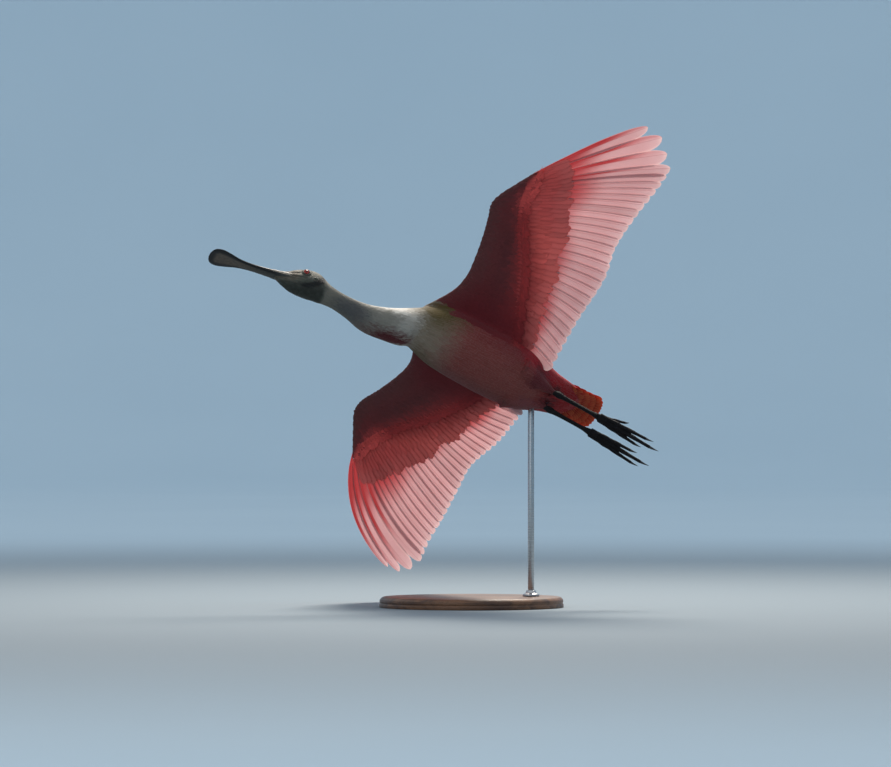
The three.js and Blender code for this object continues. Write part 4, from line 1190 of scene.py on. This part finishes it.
def swelling(rows):
    """A closed swelling of the head from rows of [forward, half width, half height, up]."""
    forward, half_width, half_height, up = np.array(rows, float).T
    centres = from_head(np.stack([forward, 0 * forward, up], axis=1))
    sides, ups = np.tile(head_side, (len(rows), 1)), np.tile(head_up, (len(rows), 1))
    return tube(oval_rings(centres, sides, ups, half_width, half_height, half_height, 32))


def head_flesh():
    """The bare head with eye sockets, lids, brows, ear openings and the folds of gape and throat."""
    t = np.linspace(0.5, 1, 60)
    sunk = -0.6 - 3.0 * smoothstep(0.61, 0.52, t) - 1.2 * smoothstep(0.95, 1, t)
    made = fused([tube(neck_rings(t, sunk, 64)), swelling(CHIN), swelling(FOREHEAD)], HEAD_VOXEL, 5)
    places = in_head([vert.co[:] for vert in made.verts])
    normals = np.array([vert.normal[:] for vert in made.verts]) @ HEAD_AXES.T
    forward, left, up = places.T
    ring = np.hypot(forward - EYE["forward"], up - EYE["up"])
    ear = np.hypot(forward - EAR["forward"], up - EAR["up"])
    beside = smoothstep(6, 11, np.abs(left))
    lids = 1.5 * bell(ring, 7.0, 1.3) - 0.8 * bell(ring, 10.0, 1.4)
    brow = bell(up, 18, 2.4) * bell(forward, 13, 11)
    lore = bell(up, 5 - 0.12 * (forward - 20), 2.6) * smoothstep(20, 26, forward)
    ear_opening = 0.7 * bell(ear, 4.2, 1.2) - 2.2 * bell(ear, 0, 2.2)
    gape = bell(up, -4.5, 1.3) * smoothstep(8, 20, forward) * smoothstep(5, 9, np.abs(left))
    shift = (lids + brow - 1.2 * lore + ear_opening) * beside - 1.3 * gape
    for height, depth in THROAT_FOLDS:
        fold = bell(up - 0.08 * (forward - 10), height, 1.2) * smoothstep(-20, 0, forward)
        shift -= depth * fold * smoothstep(4, 9, np.abs(left))
    places = places + normals * shift[:, None]
    ball = np.sqrt(np.maximum(EYE["radius"] ** 2 - ring**2, 0))
    inside = (ring < 5.6) & (np.abs(left) > 8)
    deep = np.minimum(np.abs(places[:, 1]), EYE["side"] + ball - 1.2)
    places[:, 1] = np.where(inside, np.sign(left) * deep, places[:, 1])
    for vert, place in zip(made.verts, from_head(places)):
        vert.co = place
    relax(made, 0.3)
    return made


flesh = body_flesh()
skin_corners, skin_surface = triangle_corners(flesh)
skin = finish_piece(
    "skin", joined([flesh, head_flesh()]), head_hide,
    ("torso", "neck_lower", "neck_upper", "head", "wing_left_arm", "wing_right_arm", "wing_left_hand",
     "wing_right_hand", "thigh_left", "thigh_right"),
)


def part_of(places):
    """Which part of the body each place lies on: torso, neck, wing (left or right) or thigh."""
    x, y, z = places.T
    wing = (np.abs(y) > 52) & (z > -30) & (x < 150) & (x > -60)
    part = np.full(len(places), "torso", dtype=object)
    part[(x < -88) & (z < -24) & (np.abs(y) > 6)] = "thigh"
    part[x > 118] = "neck"
    part[wing & (y > 0)] = "left"
    part[wing & (y < 0)] = "right"
    return part


def neck_share(places):
    """Share of the neck line nearest to each place, its direction there and the offset from it."""
    t = np.linspace(0, 1, 200)
    centre, forward, *_ = neck_frames(t)
    nearest = np.array([np.argmin(((centre - p) ** 2).sum(1)) for p in places])
    return t[nearest], forward[nearest], places - centre[nearest]


def wing_under(shape, places):
    """1 where a place is on the under face of a wing, 0 on its upper one."""
    return smoothstep(5, -1, places[:, 2] - wing_height(shape, places[:, 0], np.abs(places[:, 1])))


def paint_skin():
    """Gives the skin the markings of the plumage over it, and the head its own."""
    places, _ = vertices_of(skin)
    parts = part_of(places)
    tint = body_marking(places)
    for side, shape in WING.items():
        on = parts == side
        chosen = places[on]
        tint[on] = wing_marking(shape, chosen[:, 0], np.abs(chosen[:, 1]), wing_under(shape, chosen))
    on = places[:, 0] > 300
    tint[on] = head_marking(places[on])
    paint(skin, tint)


paint_skin()


def round_share(up, across):
    """Share of a full turn round the body's length, for the map that the baking uses."""
    return np.arctan2(up, across) / (2 * math.pi) + 0.5


def dress(name, part, spacing_at, length_at, width_share, lift, seed, material, slot):
    """Covers one part of the skin with small feathers."""
    corners = skin_corners[part_of(skin_corners.mean(axis=1)) == part]
    roots, normals = scattered(corners, spacing_at, seed)
    count = len(roots)
    x, y, z = roots.T
    draw = np.random.default_rng(seed + 100)
    lengths = length_at(roots) * draw.normal(1, 0.08, count)
    ragged = roots + draw.normal(0, 3.0, roots.shape)
    tints = body_marking(ragged)
    lie = np.tile([-1.0, 0, 0], (count, 1))
    keep = np.ones(count, bool)
    edge = np.zeros(count)
    past_edge = None
    if part == "neck":
        share, forward, offset = neck_share(roots)
        lie = -forward
        keep = in_head(roots)[:, 0] < -24
        bake = (round_share(offset[:, 2], offset[:, 1]), share)
    elif part in WING:
        shape, sign = WING[part], dict(SIDES)[part]
        out = np.abs(y)
        under = wing_under(shape, roots)
        tints = wing_marking(shape, ragged[:, 0], out, under)
        lie[:, 1] = sign * (0.12 + 0.75 * smoothstep(170, 340, out))
        edge = smoothstep(16, 4, along(shape["leading"], out) - x)
        past_edge = over_quills(shape)
        bake = ((x + 80) / 500 + np.where(under > 0.5, 0.5, 0.0), (out - 40) / 330)
    elif part == "thigh":
        lie = np.stack([-np.ones(count), -0.12 * np.sign(y), np.full(count, 0.1)], axis=1)
        bake = (round_share(z + 36, np.abs(y) - 25) / 2 + 0.5 * (y > 0), (x + 160) / 80)
    else:
        bake = (round_share(z + 10, y), (x + 225) / 350)
    lengths = lengths * (1 - 0.35 * edge)
    lie = lie + draw.normal(0, 0.07, lie.shape)
    tints = np.clip(tints * draw.normal(1, 0.04, (count, 1)), 0, 1)
    lifts = lift * draw.uniform(0.75, 1.15, count) * (1 - 0.6 * edge)
    bake = np.clip(np.stack(bake, axis=1), 0.002, 0.998)
    widths = lengths * width_share
    chosen = (values[keep] for values in (roots, normals, lie, lengths, widths, lifts, tints, bake))
    body_coat(name, *chosen, material, slot, past_edge)


def over_quills(shape):
    """Carries the small feathers of a wing past the end of its flesh, over the coverts."""
    def lay(start, places, outward, face):
        """Places and directions outwards, laid on the wing's sheet where they pass the flesh."""
        x, out = start[..., 0], np.abs(start[..., 1])
        past = np.maximum(along(shape["quills"], out) + WING_COAT - x, out - HAND_END_OUT + WING_COAT)
        loose = smoothstep(-4, 2, past)[..., None]
        height = wing_height(shape, x, out) + face * (5.2 + 1.3 * smoothstep(-2, 7, past))
        beyond = np.stack([x, start[..., 1], height], axis=-1)
        upright = np.stack([0 * x, 0 * x, face + 0 * x], axis=-1)
        return blend(places, beyond, loose), unit(blend(outward, upright, loose))

    return lay


def up_neck(places):
    """0 at the root of the neck, 1 towards the head."""
    return smoothstep(130, 270, places[:, 0])


def forward_share(places):
    """1 at the leading edge of a wing, 0 where its quills begin."""
    return smoothstep(-20, 60, places[:, 0] - 0.25 * np.abs(places[:, 1]))


# Spacing and length of the small feathers, their width as a share of the length, and their lift
dress("coat_torso", "torso", lambda p: 5.0, lambda p: 22, 0.46, 0.42, 1, contour_vane, "pink_plumage")
dress("coat_neck", "neck", lambda p: 3.7 - 1.4 * up_neck(p), lambda p: 16 - 8 * up_neck(p), 0.3, 0.35, 2,
      contour_vane, "white_plumage")
dress("coat_thighs", "thigh", lambda p: 3.6, lambda p: 16, 0.34, 0.5, 3, contour_vane, "pink_plumage")
for wing, turned_to in SIDES:
    dress(f"coat_wing_{wing}", wing, lambda p: 5.2 - 1.9 * forward_share(p),
          lambda p: 22 - 11 * forward_share(p), 0.5, 0.4, 4, lining_vane, "wing_plumage")
    wing_quills(wing, turned_to)
    wing_covert_rows(wing, turned_to)
tail_fan()


# Bill and eyes


def in_nostril(at, across):
    """1 in the slit of a nostril, by the share along the bill and the share of its half width, 0 outside."""
    along_slit = bell(at, NOSTRIL["share"], NOSTRIL["length"])
    return along_slit * bell(np.abs(across), NOSTRIL["across"], NOSTRIL["width"])


def jaw(upper):
    """One jaw: flat along the mouth, domed outside, and dished inside its rim towards the spoon."""
    stations, sides = 110, 40
    length = np.linalg.norm(np.subtract(BILL_TIP_AT, HEAD_AT)) - BILL_START
    share = 1 - (1 - np.linspace(0, 1, stations)) ** 1.6
    half_width, over, under = along(BILL_OUTLINE, share).T
    depth = over if upper else under
    angle = np.linspace(0, 2 * math.pi, sides, endpoint=False)
    across, dome = np.cos(angle), np.sin(angle)
    spoon = smoothstep(0.5, 0.75, share)[:, None]
    dish = spoon * 0.45 * np.exp(-((across / 0.62) ** 4))[None]
    high = np.clip(dome, 0, None)[None] * depth[:, None] * (1 - dish)
    ribs = 0.22 * np.sin(share * 70) * smoothstep(0.6, 0.2, share) * smoothstep(0.02, 0.1, share)
    high = high + ribs[:, None] * (dome > 0.3)[None]
    if upper:
        high = high - NOSTRIL["depth"] * in_nostril(share[:, None], across[None]) * (dome > 0.3)[None]
    rows = np.stack([
        np.broadcast_to((BILL_START + share * length)[:, None], high.shape),
        half_width[:, None] * across[None] + 0 * high,
        (1 if upper else -1) * (MOUTH_LINE / 2 + high) - BILL_DROP,
    ], axis=-1)
    made = tube(from_head(rows))
    name = "bill_upper_horn" if upper else "bill_lower_horn"
    obj = finish_piece(name, made, horn_sheath, ("bill_upper" if upper else "bill_lower",))
    places, _ = vertices_of(obj)
    forward, left, up = in_head(places).T
    at = np.clip((forward - BILL_START) / length, 0, 1)
    wide = along(BILL_OUTLINE, at)[:, 0]
    rim = smoothstep(0.48, 0.68, np.abs(left) / wide) + smoothstep(0.9, 0.96, at)
    tint = np.tile(linear("#3b3a35"), (len(places), 1))
    tint = spread(tint, "#54493f", smoothstep(0.3, 0.7, at))
    if upper:
        ridge = bell(left / wide, 0, 0.35) * smoothstep(0.7, 0.3, at)
        tint = spread(tint, "#3d3f3f", ridge)
        tint = spread(tint, "#0c0e10", in_nostril(at, left / wide) * smoothstep(1, 4, up + BILL_DROP))
    tint = spread(tint, "#0c0e10", np.clip(rim, 0, 1) * smoothstep(0.05, 0.3, at))
    paint(obj, tint)


def eyeball(side, sign):
    """An eye with its pole turned outwards, slightly forwards."""
    made = bmesh.new()
    bmesh.ops.create_uvsphere(made, u_segments=40, v_segments=28, radius=EYE["radius"])
    layer = made.loops.layers.uv.new("iris")
    for face in made.faces:
        for loop in face.loops:
            pole = loop.vert.co.normalized()
            round_axis = math.atan2(pole.y, pole.x) / (2 * math.pi) + 0.5
            loop[layer].uv = (round_axis, math.acos(max(-1, min(1, pole.z))) / math.pi)
    gaze = Vector(HEAD_AXES.T @ np.array([0.22, sign, 0.1]))
    centre = Vector(from_head([EYE["forward"], sign * EYE["side"], EYE["up"]]))
    turn = gaze.to_track_quat("Z", "Y").to_matrix().to_4x4()
    bmesh.ops.transform(made, matrix=Matrix.Translation(centre) @ turn, verts=made.verts)
    finish_piece(f"eye_{side}_ball", made, wet_eye, (f"eye_{side}",))


horn_sheath = bill_horn("horn_sheath_grey")
wet_eye = eye_glass("wet_eye_red")
jaw(True)
jaw(False)
for eye_side, eye_sign in SIDES:
    eyeball(eye_side, eye_sign)


# Legs


def ring_tube(line, radii, squash, sides):
    """A tube along a line of points with a radius at each, flattened or deepened by squash."""
    line = np.asarray(line, float)
    forward = unit(np.gradient(line, axis=0))
    side = unit(np.cross(np.tile([0, 0, 1.0], (len(line), 1)), forward))
    up = np.cross(forward, side)
    radii = np.asarray(radii, float)
    return tube(oval_rings(line, side, up, radii, radii * squash, radii * squash, sides))


def toe_line(root, way, length, shares):
    """Points of a toe, whose last part bends into the claw."""
    way = unit(way)
    side = unit(np.cross([0, 0, 1.0], way))
    up = np.cross(way, side)
    curl = CLAW_CURL * np.maximum(shares - 0.84, 0) ** 2
    return root + way * (shares * length)[:, None] + up * curl[:, None]


def leg(side, sign):
    """One bare leg: knotted heel, slender shank, and four long toes with claws and short webs."""
    drop, heel, toe_root = LEG["drop"], LEG["heel"], LEG["toe_root"]
    stops = [
        [toe_root, HEEL_RADIUS - 0.8],
        [toe_root + 10, SHANK_RADIUS],
        [heel - 40, SHANK_RADIUS - 0.4],
        [heel - 10, SHANK_RADIUS + 0.6],
        [heel, HEEL_RADIUS],
        [heel + 9, SHANK_RADIUS + 0.6],
        [LEG["thigh_end"] + 3, SHANK_RADIUS - 0.6],
    ]
    x = np.linspace(stops[0][0], stops[-1][0], 120)
    line = np.stack([x, np.full(120, sign * LEG["side"]), np.full(120, float(drop))], axis=1)
    parts = [ring_tube(line, along(stops, x), 1.15, 24)]
    root = np.array([toe_root, sign * LEG["side"], drop], float)
    pad_x = np.linspace(2, -20, 12)
    pad = root + np.stack([pad_x, 0 * pad_x, pad_x / 20], axis=1)
    parts.append(ring_tube(pad, np.linspace(5.8, 9.4, 12), 0.62, 20))
    start = root + [-6, 0, -0.5]
    shares = np.linspace(0, 0.86, 40)
    claw_shares = np.linspace(0.8, 1, 16)
    claws, ways = [], []
    digits = [[*size, -0.07, (0, sign * apart, 0)] for *size, apart in TOES]
    digits.append([*HALLUX, 0.34, (2, 0, 2)])
    for length, degrees, radius, slope, shift in digits:
        angle = -sign * math.radians(degrees)
        way = np.array([-math.cos(angle), -math.sin(angle), slope])
        base = start + shift
        wrinkle = 1 + 0.03 * np.sin(shares * length * 2.2)
        thick = radius * along(TOE_SHAPE, shares) * wrinkle
        parts.append(ring_tube(toe_line(base, way, length, shares), thick, 1, 14))
        claw = radius * np.interp(claw_shares, [0.8, 0.87, 1], [0.42, 0.5, 0.05])
        claws.append(ring_tube(toe_line(base, way, length, claw_shares), claw, 1.15, 10))
        ways.append((base, way * length))
    for (first, first_way), (second, second_way) in zip(ways[:2], ways[1:3]):
        for reach in np.linspace(0.05, WEB_REACH, 14):
            web = np.linspace(first + first_way * reach, second + second_way * reach, 6)
            parts.append(ring_tube(web, np.full(6, 3.0), 0.35, 10))
    bare = fused(parts, LEG_VOXEL, 2)
    finish_piece(f"leg_{side}", bare, leg_hide, (f"shank_{side}", f"foot_{side}"))
    finish_piece(f"claws_{side}", joined(claws), dark_claw)


leg_hide = leg_scale("leg_hide_black")
dark_claw = claw_horn("claw_horn_black")
for leg_side, leg_sign in SIDES:
    leg(leg_side, leg_sign)


# Display stand


def turned(name, profile, centre, material, node):
    """A turned piece of the stand, with softly broken edges."""
    made = spun(profile, centre, 128, 1e-3)
    obj = finish_piece(name, made, material, (node,), in_bird=False)
    bevel = obj.modifiers.new("soft_edges", "BEVEL")
    bevel.width = 0.0006
    bevel.segments = 2
    bevel.limit_method = "ANGLE"


rod_top = BIRD @ Vector(ROD["at"])
rod_foot = (rod_top.x, rod_top.y)
rod_end = rod_top.z - ROD["to_surface"] + ROD["sink"]
radius, height = BASE["radius"], BASE["height"]
foot = height + STAND_GAP
collar_top = height + COLLAR["height"]
bore = ROD["radius"] + STAND_GAP
walnut = oiled_walnut("oiled_walnut")
steel = brushed_steel("brushed_steel")
plinth = [
    (0, 0),
    (radius - 1, 0),
    (radius, 1),
    (radius, 6),
    (radius - 1.5, 7.5),
    (radius - 1.5, 9),
    (radius - 0.4, 11),
    (radius - 1.2, 15),
    (radius - 5, height - 1),
    (radius - 8, height),
    (0, height),
]
ferrule = [
    (bore, foot),
    (COLLAR["radius"], foot),
    (COLLAR["radius"], height + 4),
    (14.5, height + 5),
    (11, height + 6.5),
    (9.4, height + 9),
    (9, collar_top),
    (bore, collar_top),
    (bore, foot),
]
bar = [(0, foot), (ROD["radius"], foot), (ROD["radius"], rod_end), (0, rod_end)]
turned("stand_plinth", plinth, (0, 0), walnut, "stand_base")
turned("stand_ferrule", ferrule, rod_foot, steel, "stand_collar")
turned("stand_bar", bar, rod_foot, steel, "stand_rod")


# Stage, light and camera

bend = SWEEP["bend"]
sweep_profile = [(0.0, 0.0), (SWEEP["ring"], 0.0)]
for a in np.linspace(0, math.pi / 2, 16):
    sweep_profile.append((SWEEP["flat"] + bend * math.sin(a), bend - bend * math.cos(a)))
sweep_profile.append((SWEEP["flat"] + bend, SWEEP["top"]))
sweep = spun(sweep_profile, (0, 0), 96, 1e-4)
sweep_mesh = bpy.data.meshes.new("studio_sweep")
sweep.to_mesh(sweep_mesh)
sweep.free()
sweep_mesh.shade_smooth()
sweep_mesh.materials.append(studio_floor("paper_sweep"))
linked("studio_sweep", sweep_mesh)


def softbox(name, place, size, power, colour, beam=180):
    """A square soft light at a place, turned to the bird."""
    data = bpy.data.lights.new(name, "AREA")
    data.shape = "SQUARE"
    data.size = size
    data.energy = power
    data.color = linear(colour)
    data.spread = math.radians(beam)
    obj = linked(name, data)
    obj.location = place
    obj.rotation_euler = (Vector(BIRD_MIDDLE) - Vector(place)).to_track_quat("-Z", "Y").to_euler()
    obj.visible_camera = False


softbox("key_behind", (0.5, 3.0, 4.2), 1.8, 60, "#fff4e6", 70)
softbox("fill_side", (-3.5, -6.0, 1.6), 3.0, 22, "#fff3ea")

world = bpy.data.worlds.new("studio_air")
world.use_nodes = True
background = world.node_tree.nodes["Background"]
background.inputs["Color"].default_value = rgba("#e4e8ee")
background.inputs["Strength"].default_value = 0.82
bpy.context.scene.world = world

camera_data = bpy.data.cameras.new("camera")
camera_data.sensor_width = 36
camera_data.lens = FOCAL_LENGTH
camera_data.clip_end = 100
camera = linked("camera", camera_data)
camera.location = CAMERA_AT
camera.rotation_euler = (math.pi / 2, 0, 0)
bpy.context.scene.camera = camera
bpy.context.scene.view_settings.view_transform = "Standard"
